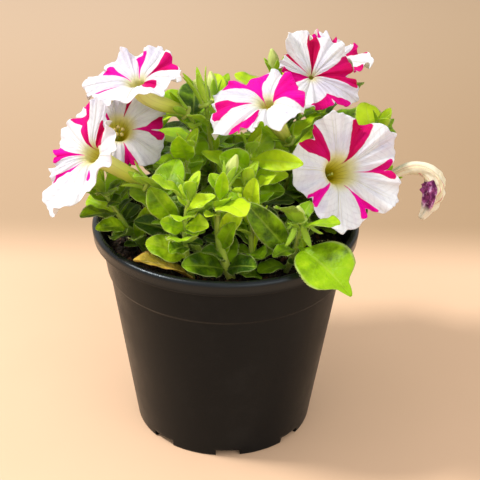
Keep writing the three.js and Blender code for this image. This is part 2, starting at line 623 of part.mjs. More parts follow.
// The limp tube of the wilted bloom, pinched into folds
const wiltedLine = new THREE.CubicBezierCurve3(...wilted.line.map(point));
function wiltedSolid() {
  const last = wilted.radii.length - 1;
  const rings = wilted.radii.map((radius, k) => {
    const place = wiltedLine.getPoint(k / last);
    const ahead = wiltedLine.getTangent(k / last);
    const across = new THREE.Vector3(0, 1, 0).cross(ahead).normalize();
    const above = ahead.clone().cross(across);
    return [...Array(10).keys()].map((i) => {
      const angle = (Math.PI * i) / 5;
      const folded = radius * (1 + wilted.crumple * (k / last) * Math.sin(5 * angle + 0.9 * k));
      return place.clone().addScaledVector(across, folded * Math.cos(angle))
        .addScaledVector(above, folded * Math.sin(angle));
    });
  });
  return solid(loft(rings));
}

// Two directions at right angles to a third
function sidesOf(ahead) {
  const across = new THREE.Vector3(0.9, 0.1, 0.3).cross(ahead).normalize();
  return [across, ahead.clone().cross(across)];
}

// Narrow blades that stand round an axis: the sepals of a calyx or the young leaves of a tuft
function tuft(foot, ahead, members) {
  const [across, above] = sidesOf(ahead);
  return members.map(({ angle, lift, radius, length, lean, width }) => {
    const outward = across.clone().multiplyScalar(Math.cos(angle)).addScaledVector(above, Math.sin(angle));
    const root = foot.clone().addScaledVector(ahead, lift).addScaledVector(outward, radius);
    const tip = root.clone().addScaledVector(ahead, length * Math.cos(lean))
      .addScaledVector(outward, length * Math.sin(lean));
    const face = ahead.clone().addScaledVector(outward, -1);
    return blade({ root, tip, face, width, ...young, wave: 0, stalk: 0 });
  });
}

const built = new Map();
function growBlade(name, shape, kind) {
  built.get(name).blades.push(solid(bladeLoft(shape, kind)));
  hold(name, bladePlaces(shape), room.leaf);
}

// Each stem is one rod that runs on into its calyx and into the style or bud above it
for (const { name, stem: line, bears, toward, thick = stem.baseRadius } of shoots) {
  const flower = blooms.find((one) => one.name === bears);
  const curve = arc(flower ? [...line, flower.foot] : line);
  const foot = curve.getPoint(1);
  const ahead = (flower ? point(flower.throat).sub(foot) : point(toward)).normalize();
  const along = [...Array(stem.steps + 1).keys()].map((k) => k / stem.steps);
  const down = curve.getTangent(0).multiplyScalar(-soil.stemDepth);
  const sunk = curve.getPoint(0).add(down);
  const places = [sunk, ...along.map((t) => curve.getPoint(t))];
  const radii = [thick, ...along.map((t) => mix(thick, stem.tipRadius, t))];
  const ending = endings[bears.startsWith('bloom') ? 'bloom' : bears];
  if (ending) {
    for (const [distance, radius] of [...calyx.rings, ...ending.rings]) {
      places.push(foot.clone().addScaledVector(ahead, distance));
      radii.push(radius);
    }
  }
  if (flower) {
    const inside = tubeLine(flower);
    places.push(foot.clone().addScaledVector(ahead, calyx.height));
    places.push(...[0.4, style.reach, style.reach + 0.05].map((t) => inside.getPoint(t)));
    radii.push(style.radius, style.radius, style.radius, 2 * style.radius);
  }
  const hole = [sunk.clone().addScaledVector(down, 0.05), curve.getPoint(0).addScaledVector(down, -0.6)];
  built.set(name, {
    curve,
    ahead,
    ending,
    blades: [],
    rod: solid(rod(places, radii, stem.sides)),
    hole: solid(rod(hole, [thick + stem.gap, thick + stem.gap], stem.sides)),
  });
  for (let k = 0; k <= room.stemPlaces; k++) {
    const t = k / room.stemPlaces;
    hold(name, [curve.getPoint(t)], mix(thick, stem.tipRadius, t) + room.stem);
  }
}

// The old leaf has a stalk of its own in the soil
const oldShape = blade({ ...oldLeaf, root: point(oldLeaf.root), tip: point(oldLeaf.tip), face: up });
const oldStalk = (radius) => solid(rod([point(oldLeaf.foot), point(oldLeaf.root)], [radius, radius], 4));
hold('old_leaf', bladePlaces(oldShape), room.leaf);
built.set('old_leaf', {
  blades: [solid(bladeLoft(oldShape, largeKind))],
  rod: oldStalk(leaf.stalkWidth / 2),
  hole: oldStalk(leaf.stalkWidth / 2 + stem.gap),
});

for (const flower of blooms) {
  const rows = bloomRow(flower, room.bloomColumns, room.bloomTubeRows, room.bloomLimbRows);
  hold(flower.name, rows.flat(), room.bloom);
}
hold('bloom_wilted', wiltedLine.getPoints(room.stemPlaces), Math.max(...wilted.radii) + 0.5);

for (const [name, { curve, ahead, ending }] of built) {
  if (!curve) continue;
  const members = ending
    ? [...Array(calyx.sepals).keys()].map((i) => ({
      angle: (2 * Math.PI * i) / calyx.sepals + 0.3,
      lift: 0.4 * calyx.height,
      radius: calyx.radius - 1.6,
      length: ending.length,
      lean: ending.spread * degrees,
      width: calyx.sepalWidth,
    }))
    : [...Array(rosette.leaves).keys()].map((i) => ({
      angle: 2.4 * i,
      lift: -1.5 - 0.5 * i,
      radius: 0.3,
      length: rosette.length,
      lean: rosette.spread * (1 - (0.7 * i) / rosette.leaves) * degrees,
      width: rosette.width,
    }));
  for (const shape of tuft(curve.getPoint(1), ahead, members)) growBlade(name, shape, narrowKind);
}

// The first of a few tries that is clear of everything placed before it
function growClear(name, kind, describe) {
  for (let attempt = 0; attempt < room.tries; attempt++) {
    const shape = blade(describe(attempt));
    if (clearOf(bladePlaces(shape), name)) {
      growBlade(name, shape, kind);
      return;
    }
  }
}

for (const [name, share, tip, width, droop, face] of largeLeaves) {
  growClear(name, largeKind, (attempt) => {
    const shift = new THREE.Vector3(draw(-1, 1), draw(-1, 1), draw(-1, 1));
    shift.multiplyScalar(moving.shift * attempt);
    return {
      root: built.get(name).curve.getPoint(share),
      tip: shift.add(point(tip)),
      face: point(face),
      width: width * (1 - moving.shrink * attempt),
      droop,
      phase: draw(0, 6),
    };
  });
}

// The other leaves stand round their stems, a little more to the outside of the plant
for (const { name, stem: line, leaves, size } of shoots) {
  const { curve } = built.get(name);
  const outside = Math.atan2(line[1][1], line[1][0]);
  for (let k = 0; k < leaves; k++) {
    const middle = mix(...filling.shares, (k + 0.5) / leaves);
    const round = ((k * filling.turnStep + filling.turnStart) % 360) - 180;
    const turn = outside + filling.outwards * round * degrees;
    growClear(name, plainKind, (attempt) => {
      const share = middle + draw(-filling.shareShift, filling.shareShift);
      const angle = turn + draw(-filling.turnShift, filling.turnShift);
      const rise = mix(draw(...filling.riseAtFoot), draw(...filling.riseAtEnd), share) * degrees;
      const grown = size * mix(...filling.taper, share) * draw(...filling.lengths);
      const length = grown * (1 - filling.shrink * attempt);
      const root = curve.getPoint(share);
      const level = Math.cos(rise);
      const ahead = new THREE.Vector3(Math.cos(angle) * level, Math.sin(angle) * level, Math.sin(rise));
      return {
        root,
        tip: root.clone().addScaledVector(ahead, length),
        face: up.clone().addScaledVector(ahead, draw(filling.lean, 0)),
        width: length * draw(...filling.widths),
        droop: draw(...filling.droops),
        cup: filling.cup,
        twist: draw(-filling.twist, filling.twist),
        wave: filling.wave,
        phase: draw(0, 6),
      };
    });
  }
}

// Pieces fused into one body, without the pockets that they enclose
function whole(pieces) {
  const bodies = wasm.Manifold.union(pieces).decompose();
  return bodies.reduce((most, body) => (body.volume() > most.volume() ? body : most));
}

const group = new THREE.Group();
function add(name, body, color, roughness = 0.6) {
  const material = new THREE.MeshStandardMaterial({ color, roughness, metalness: 0 });
  const mesh = new THREE.Mesh(geometryOf(body), material);
  mesh.name = name;
  group.add(mesh);
}

add('pot', potSolid(), 0x1b1c1e, 0.5);
add('soil', soilSolid([...built.values()].map(({ hole }) => hole)), 0x3a241b, 0.95);
for (const [name, { blades, rod: axis }] of built) {
  if (name !== 'old_leaf') add(name, whole([axis, ...blades]), 0x6c9a1f);
}
for (const flower of blooms) add(flower.name, corollaSolid(flower), 0xf4eff2, 0.5);
add('bloom_wilted', wiltedSolid(), 0xd9c9a0, 0.7);
add('old_leaf', whole([built.get('old_leaf').rod, ...built.get('old_leaf').blades]), 0xc9a227, 0.7);

export default group;
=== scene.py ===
# Potted petunia: finer pieces, materials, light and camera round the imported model.
# Lengths in the tables are millimetres; meshes are turned to metres when they are made.
import math
from math import cos, pi, sin
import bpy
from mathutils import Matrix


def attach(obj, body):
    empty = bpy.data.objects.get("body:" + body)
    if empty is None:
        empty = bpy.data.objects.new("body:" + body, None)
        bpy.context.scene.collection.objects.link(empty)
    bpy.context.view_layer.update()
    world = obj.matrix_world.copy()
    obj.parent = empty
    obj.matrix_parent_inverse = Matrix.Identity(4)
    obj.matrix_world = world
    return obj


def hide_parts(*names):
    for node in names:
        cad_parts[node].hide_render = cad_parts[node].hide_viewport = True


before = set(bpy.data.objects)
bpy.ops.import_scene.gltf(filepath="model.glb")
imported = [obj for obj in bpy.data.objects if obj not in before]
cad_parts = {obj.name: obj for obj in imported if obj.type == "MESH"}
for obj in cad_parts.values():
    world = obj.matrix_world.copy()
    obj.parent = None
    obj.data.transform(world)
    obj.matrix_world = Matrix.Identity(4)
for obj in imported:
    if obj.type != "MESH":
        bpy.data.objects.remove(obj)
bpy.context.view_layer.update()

from types import SimpleNamespace as Table

import bpy
import numpy as np
from mathutils import Matrix, Vector

DEGREES, TURN = pi / 180, 2 * pi
METRES = 0.001

# The tables down to YOUNG have the CAD source's names and values
POT = Table(
    height=110.5, rimRadius=65, rimDepth=3.6, lipDrop=7, lipFootRadius=64.4, bandTopRadius=60.8,
    bandDrop=24.4, bandFootRadius=58.3, wallTopRadius=57.2, baseRadius=44.8, wall=1.8, floorLift=3.8,
    floorThickness=2.2, footWidth=4.5, padRadius=14, notchWidth=12, notchHeight=3.5, notches=8,
    frontNotchAngle=-86, drainRadius=3.6, drainCircle=27, drains=6)
SOIL = Table(level=98, gap=0.4, roughness=1.3, stemDepth=10)
BLOOM = Table(
    tubeRadius=1.9, middleRadius=3.1, throatRadius=6.2, throatSlope=28, limbSlope=80, flareLength=9,
    notchDepth=0.22, tipLength=0.03, ruffle=1.5)
CALYX = Table(height=2.2, radius=3.7, sepals=5, sepalWidth=3.6, rings=((0.4, 2.6), (1.4, 3.7), (2.2, 3.3)))
LEAF = Table(stalkWidth=1.5, stalk=0.14, widest=0.47, fullness=0.6)
STEM = Table(baseRadius=1.6, tipRadius=0.9)

# Blooms: throat, face, foot, and five lobes as (angle of the notch before it, length, edge slope). The rest
# is only here: how wide the throat opens, as a share of the full width, how far the margin runs out at the
# folds, how purple each wedge's magenta is, from crimson at 0, where the crimson is partly painted shade, and
# the magenta wedges. A wedge lies along the fold before a petal: the petal's number, how deep the margin's
# notch cuts into it, and its places. A place is how far it is from throat to edge, half the wedge's width
# there, and how far it lies to the side, if it does, all in hundredths of a petal.
BLOOMS = [
    Table(name="bloom_top_left", throat=(-41.8, 4, 176.8), face=(-0.3, -0.2, 0.93), foot=(-18.9, 12, 159.5),
          lobes=((-20, 18, 118), (35, 17, 60), (100, 17, 58), (160, 23, 98), (215, 17, 82)),
          opens=0.55, fold=0.14, hues=(0.2, 0.5, 0.8, 0.85, 0.7), wedges=(
        (0, 0.3, (0, 6), (15, 15), (38, 20), (55, 14), (62, 0)),
        (1, 0, (3, 2), (25, 6), (50, 12), (76, 21), (92, 20), (100, 6), (102, 0)),
        (2, 0, (5, 1.5), (30, 6), (55, 13), (75, 19), (87, 14), (93, 0)),
        (3, 0, (8, 1.5), (35, 5.5), (60, 10), (78, 14), (88, 10), (94, 0)),
        (4, 0, (30, 1.2), (60, 5), (85, 6), (95, 0)))),
    Table(name="bloom_left", throat=(-60.7, -22, 152.4), face=(-0.5, -0.62, 0.6), foot=(-34.6, -26, 139.2),
          lobes=((-78, 14, 55), (64, 22, 76), (104, 18, 108), (184, 17, 88), (225, 30, 66)),
          opens=0.62, fold=0.06, hues=(0.8, 0.35, 0.3, 0.95, 0.9), wedges=(
        (0, 0, (30, 1), (45, 5), (56, 0)),
        (1, 0, (0, 10, 2), (25, 15, -6), (50, 15, 4), (66, 6, 6), (72, 0, 6)),
        (2, 0, (0, 6, 5), (20, 10, 13), (42, 11, 12), (60, 16), (80, 27, 2), (110, 30, 5)),
        (3, 0, (5, 1.5), (30, 5), (50, 10), (70, 18, 2), (95, 22, 2), (110, 20, 2)),
        (4, 0, (5, 2, 10), (30, 7, 8), (50, 5.5, -7), (80, 5, -14), (97, 4, -2), (100, 0)))),
    Table(name="bloom_left_middle", throat=(-52, 10, 151.4), face=(0.16, -0.72, 0.67),
          foot=(-56.6, 31, 131.9),
          lobes=((-145, 18, 140), (-73, 20, 104), (0, 21, 88), (71, 16, 128), (138, 20, 142)),
          opens=0.95, fold=0.0, hues=(0.4, 0.3, 0.2, 0.05, 0.6), wedges=(
        (0, 0.05, (10, 2), (50, 6), (90, 12), (110, 10)),
        (1, 0.04, (10, 1.2), (30, 2.2), (50, 7), (75, 11), (110, 12)),
        (2, 0.3, (6, 1.4), (30, 3.5), (46, 7), (60, 17), (78, 23), (95, 20), (104, 10)),
        (3, 0, (10, 1.5), (40, 3.5), (70, 9), (90, 13), (110, 12)),
        (4, 0.1, (0, 5), (30, 12), (70, 15), (110, 15)))),
    Table(name="bloom_centre", throat=(18.5, -8, 172.7), face=(-0.32, -0.3, 0.9), foot=(29.7, 8, 147.7),
          lobes=((-70, 16, 128), (38, 15, 90), (138, 26, 106), (194, 26, 118), (245, 16, 92)),
          opens=0.5, fold=0.04, hues=(0.6, 0.75, 0.9, 0.6, 0.65), wedges=(
        (1, 0, (0, 10), (25, 26, 2), (50, 34), (85, 38), (110, 36)),
        (2, 0, (0, 4, -3), (20, 10, -4), (40, 22, -2), (60, 33), (85, 38, 2), (110, 36, 3)),
        (3, 0, (22, 1.5), (36, 10), (56, 24), (76, 29), (90, 24), (98, 10), (100, 0)),
        (4, 0, (25, 5, 30), (40, 20, 32), (60, 28, 22), (80, 26, 12), (110, 22, 10)))),
    Table(name="bloom_top_right", throat=(39.7, 24, 174.5), face=(0.15, -0.72, 0.66),
          foot=(35.3, 45.1, 155.1),
          lobes=((-52, 21, 112), (4, 18, 95), (90, 20, 72), (140, 13, 64), (182, 14, 70)),
          opens=0.16, fold=0.02, hues=(0.5, 0.3, 0.0, 0.3, 0.4), wedges=(
        (0, 0.25, (50, 2), (68, 24), (88, 36), (110, 36)),
        (1, 0.1, (0, 5), (20, 14), (45, 26), (75, 33), (95, 32), (110, 28)),
        (2, 0, (0, 6), (30, 17), (60, 20), (85, 14), (110, 5)),
        (3, 0, (10, 3, 4), (60, 10, 10), (110, 10, 10)),
        (4, 0, (3, 6), (30, 20), (50, 18), (80, 28), (110, 30)))),
    Table(name="bloom_back_right", throat=(54, 52, 173.3), face=(0.3, -0.1, 0.95), foot=(45.3, 54.9, 145.8),
          lobes=((-80, 13, 75), (25, 17, 104), (75, 17, 84), (120, 15, 62), (195, 17, 55)),
          opens=0.6, fold=0.0, hues=(0.3, 0.3, 0.4, 0.6, 0.4), wedges=(
        (0, 0.1, (10, 2), (50, 8), (80, 16), (110, 15)),
        (1, 0, (5, 3), (40, 8), (70, 18), (95, 28), (110, 26)),
        (2, 0.1, (5, 2), (40, 7), (80, 16), (110, 15)),
        (3, 0.1, (5, 2), (40, 9), (80, 20), (110, 18)),
        (4, 0.1, (5, 2), (50, 8), (80, 15), (110, 15)))),
    Table(name="bloom_right", throat=(52.2, -8, 139.8), face=(0.36, -0.76, 0.53), foot=(41.7, 14.2, 124.3),
          lobes=((-138, 26, 80), (-56, 28, 72), (2, 29, 88), (66, 24, 78), (135, 23, 88)),
          opens=1.0, fold=-0.05, hues=(0.75, 0.95, 0.4, 0.12, 0.2), wedges=(
        (0, 0.16, (5, 2, 10), (30, 5, 8), (60, 8, 4), (85, 11, 2), (104, 8)),
        (1, 0.06, (8, 1, -14), (20, 2.2, -9), (42, 5, -3), (66, 11), (86, 15), (106, 12)),
        (2, 0.12, (10, 1, -4), (34, 2.4, -5), (50, 4.5, -3), (62, 9), (78, 18), (90, 19, 1), (104, 12)),
        (3, 0.04, (0, 3, -22), (15, 10, -20), (46, 16, -13), (80, 19, -4), (110, 19)),
        (4, 0.12, (0, 5, -8), (10, 10, -7), (35, 17, -2), (65, 23, 1), (110, 20)))),
]

# Shoots: name, stem places, what it bears and which way that points, leaves, their size, and the thickness
# where it isn't the usual one
SHOOTS = [
    ("left", ((-6, -28, 98), (-20, -34, 122)), "bloom_left", None, 7, 29, 2.6),
    ("front_left", ((-15, -38, 98), (-18, -39, 121), (-16, -36, 140)), "rosette", (0, 0.1, 1), 8, 30),
    ("front", ((3, -37, 98), (-3, -37, 122), (-1, -34, 142)), "bud", (0.35, 0.3, 0.9), 8, 28, 2.4),
    ("front_right", ((13, -32, 98), (12, -33, 120), (10, -27, 142)), "rosette", (0, 0.2, 1), 8, 27),
    ("right", ((29, -30, 98), (33, -38, 116), (34, -38.5, 128.5)), "seed_head", (-0.12, -0.1, 1), 7, 29),
    ("bloom_right", ((30, 0, 98), (39, 10, 112)), "bloom_right", None, 9, 34),
    ("far_right", ((42, 6, 98), (60, 13, 117), (74, 14, 122)), "bloom_wilted", (0.62, 0, 0.78), 9, 31),
    ("centre", ((17, 6, 98), (30, 16, 124)), "bloom_centre", None, 9, 32),
    ("top_right", ((24, 26, 98), (34, 50, 127)), "bloom_top_right", None, 10, 35),
    ("back_right", ((38, 24, 98), (50, 48, 122)), "bloom_back_right", None, 10, 35),
    ("left_middle", ((-34, 20, 98), (-53, 38, 117)), "bloom_left_middle", None, 9, 34),
    ("top_left", ((-16, 6, 98), (-11, 18, 130)), "bloom_top_left", None, 9, 32),
    ("spent_bud", ((-3, 14, 98), (-7, 12, 134), (-10, 8, 165)), "spent_bud", (-0.35, 0.1, 0.93), 9, 28),
    ("tall_bud", ((8, 26, 98), (19, 32, 132), (24, 35, 168)), "bud", (-0.2, 0.05, 0.97), 9, 32),
    ("left_low", ((-37, -16, 98), (-48, -19, 117), (-58, -18, 133)), "rosette", (-0.4, 0, 0.9), 8, 24),
    ("left_back", ((-28, 34, 98), (-38, 48, 120), (-38, 52, 142)), "rosette", (-0.2, 0.2, 1), 11, 36),
    ("back", ((-6, 40, 98), (-10, 54, 122), (-8, 54, 148)), "bud", (-0.1, 0.5, 0.9), 11, 37),
    ("back_centre", ((14, 44, 98), (20, 60, 116), (22, 66, 130)), "rosette", (0.1, 0.5, 0.8), 11, 34),
    ("right_back", ((46, 20, 98), (62, 28, 122), (75, 28, 147)), "rosette", (0.15, 0, 1), 10, 31),
    ("middle", ((-14, -12, 98), (-17, -12, 126), (-18, -6, 148)), "rosette", (0, 0, 1), 10, 34),
    ("inner_right", ((14, -13, 98), (12, -13, 128), (11, -8, 150)), "rosette", (0.1, -0.1, 1), 10, 31),
]

# Large leaves: shoot, share of its stem, tip, width, droop, face
LARGE_LEAVES = [
    ("left", 0.55, (-34, -37, 144), 13, 25, (-0.35, -0.8, 0.55)),
    ("right", 0.5, (57, -66, 106), 27, 45, (0.1, -0.65, 0.8)),
    ("right", 0.3, (14, -37, 135), 19, 30, (-0.1, -0.85, 0.55)),
    ("front_right", 0.5, (5, -39, 147), 14, 20, (-0.45, -0.85, 0.3)),
    ("front", 0.08, (-19, -53, 113), 14, 25, (0, -0.65, 0.8)),
    ("front", 0.1, (15, -53, 113), 12, 25, (0, -0.65, 0.8)),
    ("front_left", 0.22, (-35, -41, 117), 15, 45, (-0.1, -0.6, 0.8)),
    ("front_left", 0.6, (-7, -46, 129), 10, 45, (0.1, -0.6, 0.85)),
    ("front_left", 0.35, (-25, -50, 117), 10, 50, (0, -0.5, 1)),
    ("left", 0.38, (-39, -33, 121), 13, 35, (-0.1, -0.6, 0.8)),
    ("front", 0.3, (5, -45, 131), 9, 15, (-0.5, -0.8, 0.35)),
    ("front_right", 0.25, (19, -44, 113), 12, 45, (0.1, -0.6, 0.8)),
    ("front_right", 0.2, (6, -46, 129), 5, 15, (-0.4, -0.8, 0.4)),
    ("right", 0.42, (22, -51, 117), 8, 40, (0, -0.5, 1)),
    ("inner_right", 0.55, (30, -24, 138), 12, 35, (0, -0.8, 0.6)),
    ("left_low", 0.3, (-50, -34, 115), 12, 30, (-0.5, -0.6, 0.7)),
    ("left_low", 0.15, (-66, -12, 120), 8, 60, (-0.2, -0.3, 1)),
    ("left_low", 0.6, (-66, -10, 124), 12, 50, (-0.2, -0.6, 0.8)),
    ("left_low", 0.1, (-41, -43, 120), 8, 30, (-0.1, -0.6, 0.8)),
    ("left_low", 0.8, (-48, -28, 131), 9, 35, (0.1, -0.7, 0.7)),
    ("front_left", 0.8, (-4, -43, 143), 7, 40, (0.1, -0.6, 0.9)),
    ("left", 0.8, (-17, -33, 135), 6, 20, (0.1, -0.6, 0.8)),
    ("front", 0.85, (2, -33, 155), 9, 12, (0.1, -1, 0.3)),
    ("front", 0.75, (-8, -35, 152), 8, 15, (-0.1, -1, 0.3)),
    ("front", 0.9, (8, -30, 150), 9, 20, (0.2, -0.9, 0.4)),
    ("middle", 0.9, (-22, -16, 160), 12, 20, (-0.2, -0.9, 0.4)),
    ("middle", 0.6, (-26, -15, 138), 16, 40, (-0.2, -0.9, 0.4)),
    ("left_low", 0.2, (-34, -30, 116), 12, 40, (0.1, -0.6, 0.8)),
    ("left_low", 0.4, (-55, -26, 120), 12, 40, (-0.2, -0.6, 0.8)),
    ("inner_right", 0.9, (26, -20, 155), 14, 30, (0.1, -0.85, 0.5)),
    ("inner_right", 0.8, (-3, -19, 152), 14, 35, (-0.1, -0.85, 0.5)),
    ("inner_right", 0.7, (37, -20, 141), 12, 40, (0.2, -0.8, 0.6)),
    ("bloom_right", 0.35, (50, -14, 116), 15, 40, (0.2, -0.7, 0.7)),
    ("right", 0.75, (48, -44, 124), 10, 35, (0.3, -0.8, 0.5)),
    ("front", 0.15, (-2, -55, 111), 12, 45, (-0.1, -0.5, 0.9)),
    ("left_low", 0.45, (-35, -27, 126), 11, 40, (0.1, -0.6, 0.8)),
    ("front", 0.45, (8, -38, 136), 9, 30, (0.2, -0.8, 0.6)),
    ("front_left", 0.55, (-29, -43, 130), 9, 30, (-0.3, -0.7, 0.7)),
    ("middle", 0.35, (-5, -22, 128), 14, 35, (0.1, -0.8, 0.6)),
    ("inner_right", 0.35, (25, -24, 116), 14, 40, (0.1, -0.7, 0.7)),
]

# The yellowed leaf and the wilted bloom
OLD_LEAF = Table(foot=(-12, -42, 90), root=(-14, -44, 101), tip=(-41, -50, 113.5), width=13, droop=34)
WILTED = Table(
    line=((76.2, 14, 123.6), (90, 13, 141), (112, 9, 136), (96, 6, 109)),
    radii=(1.6, 2.1, 2.6, 3, 3.2, 3.3, 3.8, 4.8, 5, 3.4, 1.2), crumple=0.25)

# What ends a shoot: rings of what it bears as (distance, radius), its sepals' length and spread, and here
# alone its ribs' size, number and twist
ENDINGS = {
    "bloom": Table(rings=(), length=12, spread=24),
    "bud": Table(rings=((2.3, 2.1), (8, 2.6), (13, 2.3), (17, 0.6)), length=12, spread=16, ribs=(0.13, 5, 5)),
    "spent_bud": Table(rings=((2.3, 2), (8, 2.4), (14, 1.6)), length=18, spread=14, ribs=(0.1, 5, 1)),
    "seed_head": Table(rings=((2.3, 2.1), (5, 2.7), (8.5, 0.8)), length=12, spread=138, ribs=(0.03, 2, 0)),
}
ROSETTE = Table(leaves=4, length=13.5, width=6.6, spread=36)
STYLE = Table(radius=0.5, reach=0.8)

# How the leaves that fill the shoots are drawn, moved on when they touch others, and given room
FILLING = Table(
    shares=(0.2, 0.95), shareShift=0.08, turnShift=0.9, outwards=0.8, turnStep=137.5, turnStart=60,
    riseAtFoot=(-5, 25), riseAtEnd=(15, 55), taper=(1.15, 0.8), lengths=(0.9, 1.1), shrink=0.02, lean=-0.4,
    widths=(0.52, 0.68), droops=(20, 65), cup=7, twist=20, wave=0.5)
MOVING = Table(shift=1.3, shrink=0.03)
ROOM = Table(
    leaf=1.8, own=1.2, bloom=2, stem=1.2, soil=2.4, rim=1.8, tries=16, spacing=1.4, outer=0.22,
    bloomColumns=80, bloomTubeRows=8, bloomLimbRows=12, stemPlaces=24)
YOUNG = {"droop": 28, "cup": 10}

# Small leaves fill in between the larger ones, most of them on the near shoots. They're only here
SMALL = Table(
    size=(9, 17), taper=(1.1, 0.8), widths=(0.55, 0.72), droops=(15, 60), rise=(-5, 55), cup=10, twist=20,
    wave=0.5, lean=-0.3, near=0.62, tries=8)
SMALL_LEAVES = {
    "front_left": 16, "front": 18, "front_right": 14, "left": 12, "right": 12, "left_low": 12,
    "inner_right": 10, "middle": 10, "bloom_right": 8, "far_right": 6, "centre": 7, "top_right": 6,
    "back_right": 6, "left_middle": 7, "top_left": 7, "spent_bud": 9, "tall_bud": 9, "left_back": 8,
    "back": 8, "back_centre": 8, "right_back": 8}
# Shoots in full sun, whose upper leaves are painted brighter: partly young leaves, partly painted sunlight
SUNLIT_SHOOTS = ("front", "front_right", "front_left")
# The widest leaf narrows to its tip from this share of its length on
WIDE = Table(width=20, tail=0.72, bright=0.05)
# Fine hairs on stems and along leaf edges
HAIR = Table(half_width=0.045, sunk=0.05, spread=0.35, lengths=(0.6, 1.2), length=0.9, spacing=1.6,
             edge_spacing=0.75)
# The bloom whose anthers reach far enough up the tube to be seen
OPEN_THROAT = "bloom_left_middle"

UP = np.array([0.0, 0.0, 1.0])
EYE_UP = np.array([0, 0.47, 0.88])
ASIDE = (0.9, 0.1, 0.3)
noise = np.random.default_rng(20)
seed = 4711


def vec(place):
    return np.array(place, float)


def unit(v):
    return v * (1 / math.sqrt(v[0] * v[0] + v[1] * v[1] + v[2] * v[2]))


def units(rows, least=0.0):
    return rows / (np.linalg.norm(rows, axis=-1)[..., None] + least)


def mix(a, b, t):
    return a + (b - a) * t


def smooth(t):
    return t * t * (3 - 2 * t)


def smoothstep(low, high, x):
    return smooth(np.clip((x - low) / (high - low), 0, 1))


def bell(x, width):
    return np.exp(-((x / width) ** 2))


def draw(low, high):
    """The same seeded draw as the CAD source, so that every leaf stands where its solid does."""
    global seed
    seed = seed * 16807 % 2147483647
    return mix(low, high, seed / 2147483647)


FLOOR_TOP = POT.floorLift + POT.floorThickness
WALL_SLOPE = (POT.wallTopRadius - POT.baseRadius) / (POT.height - POT.bandDrop)
INNER_FLOOR = POT.baseRadius + WALL_SLOPE * FLOOR_TOP - POT.wall


def pot_inner_radius(z):
    shoulder = POT.height - POT.bandDrop - 1
    if z < shoulder:
        return mix(INNER_FLOOR, POT.wallTopRadius - POT.wall, (z - FLOOR_TOP) / (shoulder - FLOOR_TOP))
    rise = (z - shoulder) / (POT.bandDrop + 1 - POT.lipDrop)
    return mix(POT.wallTopRadius, POT.bandTopRadius, rise) - POT.wall


def soil_height(x, y):
    broad = np.sin(0.21 * x + 1.1) * np.cos(0.27 * y)
    return SOIL.level + SOIL.roughness * (broad + 0.6 * np.sin(0.5 * x - 0.4 * y))


class Curve:
    """A Bezier curve through its control points, with the tangent taken as the CAD source takes it."""

    def __init__(self, *points):
        self.points = [vec(p) for p in points]

    def at(self, t):
        p = self.points
        k = 1 - t
        if len(p) == 3:
            return k * k * p[0] + 2 * k * t * p[1] + t * t * p[2]
        return k * k * k * p[0] + 3 * k * k * t * p[1] + 3 * k * t * t * p[2] + t * t * t * p[3]

    def tangent(self, t):
        return unit(self.at(min(t + 0.0001, 1)) - self.at(max(t - 0.0001, 0)))


def arc(start, middle, finish):
    start, middle, finish = vec(start), vec(middle), vec(finish)
    return Curve(start, middle * 2 - (start + finish) * 0.5, finish)


def sides_of(ahead, reference=ASIDE):
    across = unit(np.cross(vec(reference), ahead))
    return across, np.cross(ahead, across)


def bloom_frame(flower):
    out = unit(vec(flower.face))
    return (out, *sides_of(out, EYE_UP))


def tube_line(flower):
    throat, foot = vec(flower.throat), vec(flower.foot)
    back = bloom_frame(flower)[0] * (-0.4 * np.linalg.norm(throat - foot))
    return Curve(foot, foot + (throat - foot) * 0.4, throat + back, throat)


def lobe_at(lobes, turn):
    """The lobe at a turn of 0 to 5 round a bloom: angle, -1 to 1 across it, length and edge slope."""
    count = len(lobes)
    index = math.floor(turn + 1e-9) % count
    across = 2 * (turn - math.floor(turn + 1e-9)) - 1
    finish = lobes[(index + 1) % count][0] + (360 if index + 1 == count else 0)
    angle = mix(lobes[index][0], finish, (across + 1) / 2) * DEGREES
    neighbour = lobes[(index + (count - 1 if across < 0 else 1)) % count]
    share = 0.5 * abs(across) ** 2.5
    return angle, across, *(mix(lobes[index][k], neighbour[k], share) for k in (1, 2))


def limb_line(flower, turn, shares, frill=0.0, steps=24):
    """Places from the throat to the edge along one line: distance from the axis, height, and the angle."""
    angle, across, length, slope = lobe_at(flower.lobes, turn)
    notch = BLOOM.notchDepth * abs(across) ** 3
    tip = BLOOM.tipLength * math.exp(-((across / 0.15) ** 2))
    reach = length * (1 - notch + tip)
    phase = flower.throat[0]
    wave = BLOOM.ruffle * (sin(8 * angle + phase) + 0.6 * sin(13 * angle + 2 * phase))
    along = (np.arange(steps) + 0.5) / steps
    opening = smooth(np.minimum(1, along * reach / BLOOM.flareLength))
    tilt = mix(mix(BLOOM.throatSlope, BLOOM.limbSlope, opening), slope, smooth(along)) * DEGREES
    # The last step runs straight on, for edges that reach a little further
    grid = np.append(np.arange(steps + 1) / steps, 1.5)
    edge = shares * (1 + frill * shares ** 4)
    ends = []
    for start, part in ((BLOOM.throatRadius, np.sin(tilt)), (0, np.cos(tilt))):
        line = start + np.concatenate([[0], np.cumsum(part * reach / steps)])
        line = np.append(line, line[-1] + (line[-1] - line[-2]) * steps * 0.5)
        ends.append(np.interp(edge, grid, line))
    return ends[0], ends[1] + wave * shares ** 2 - 1.4 * across ** 2 * shares, angle


def tube_radius(t):
    if t < 0.6:
        return mix(BLOOM.tubeRadius, BLOOM.middleRadius, smooth(t / 0.6))
    return mix(BLOOM.middleRadius, BLOOM.throatRadius, ((t - 0.6) / 0.4) ** 1.4)


def ring_of(angles, across, above):
    return np.outer(np.cos(angles), across) + np.outer(np.sin(angles), above)


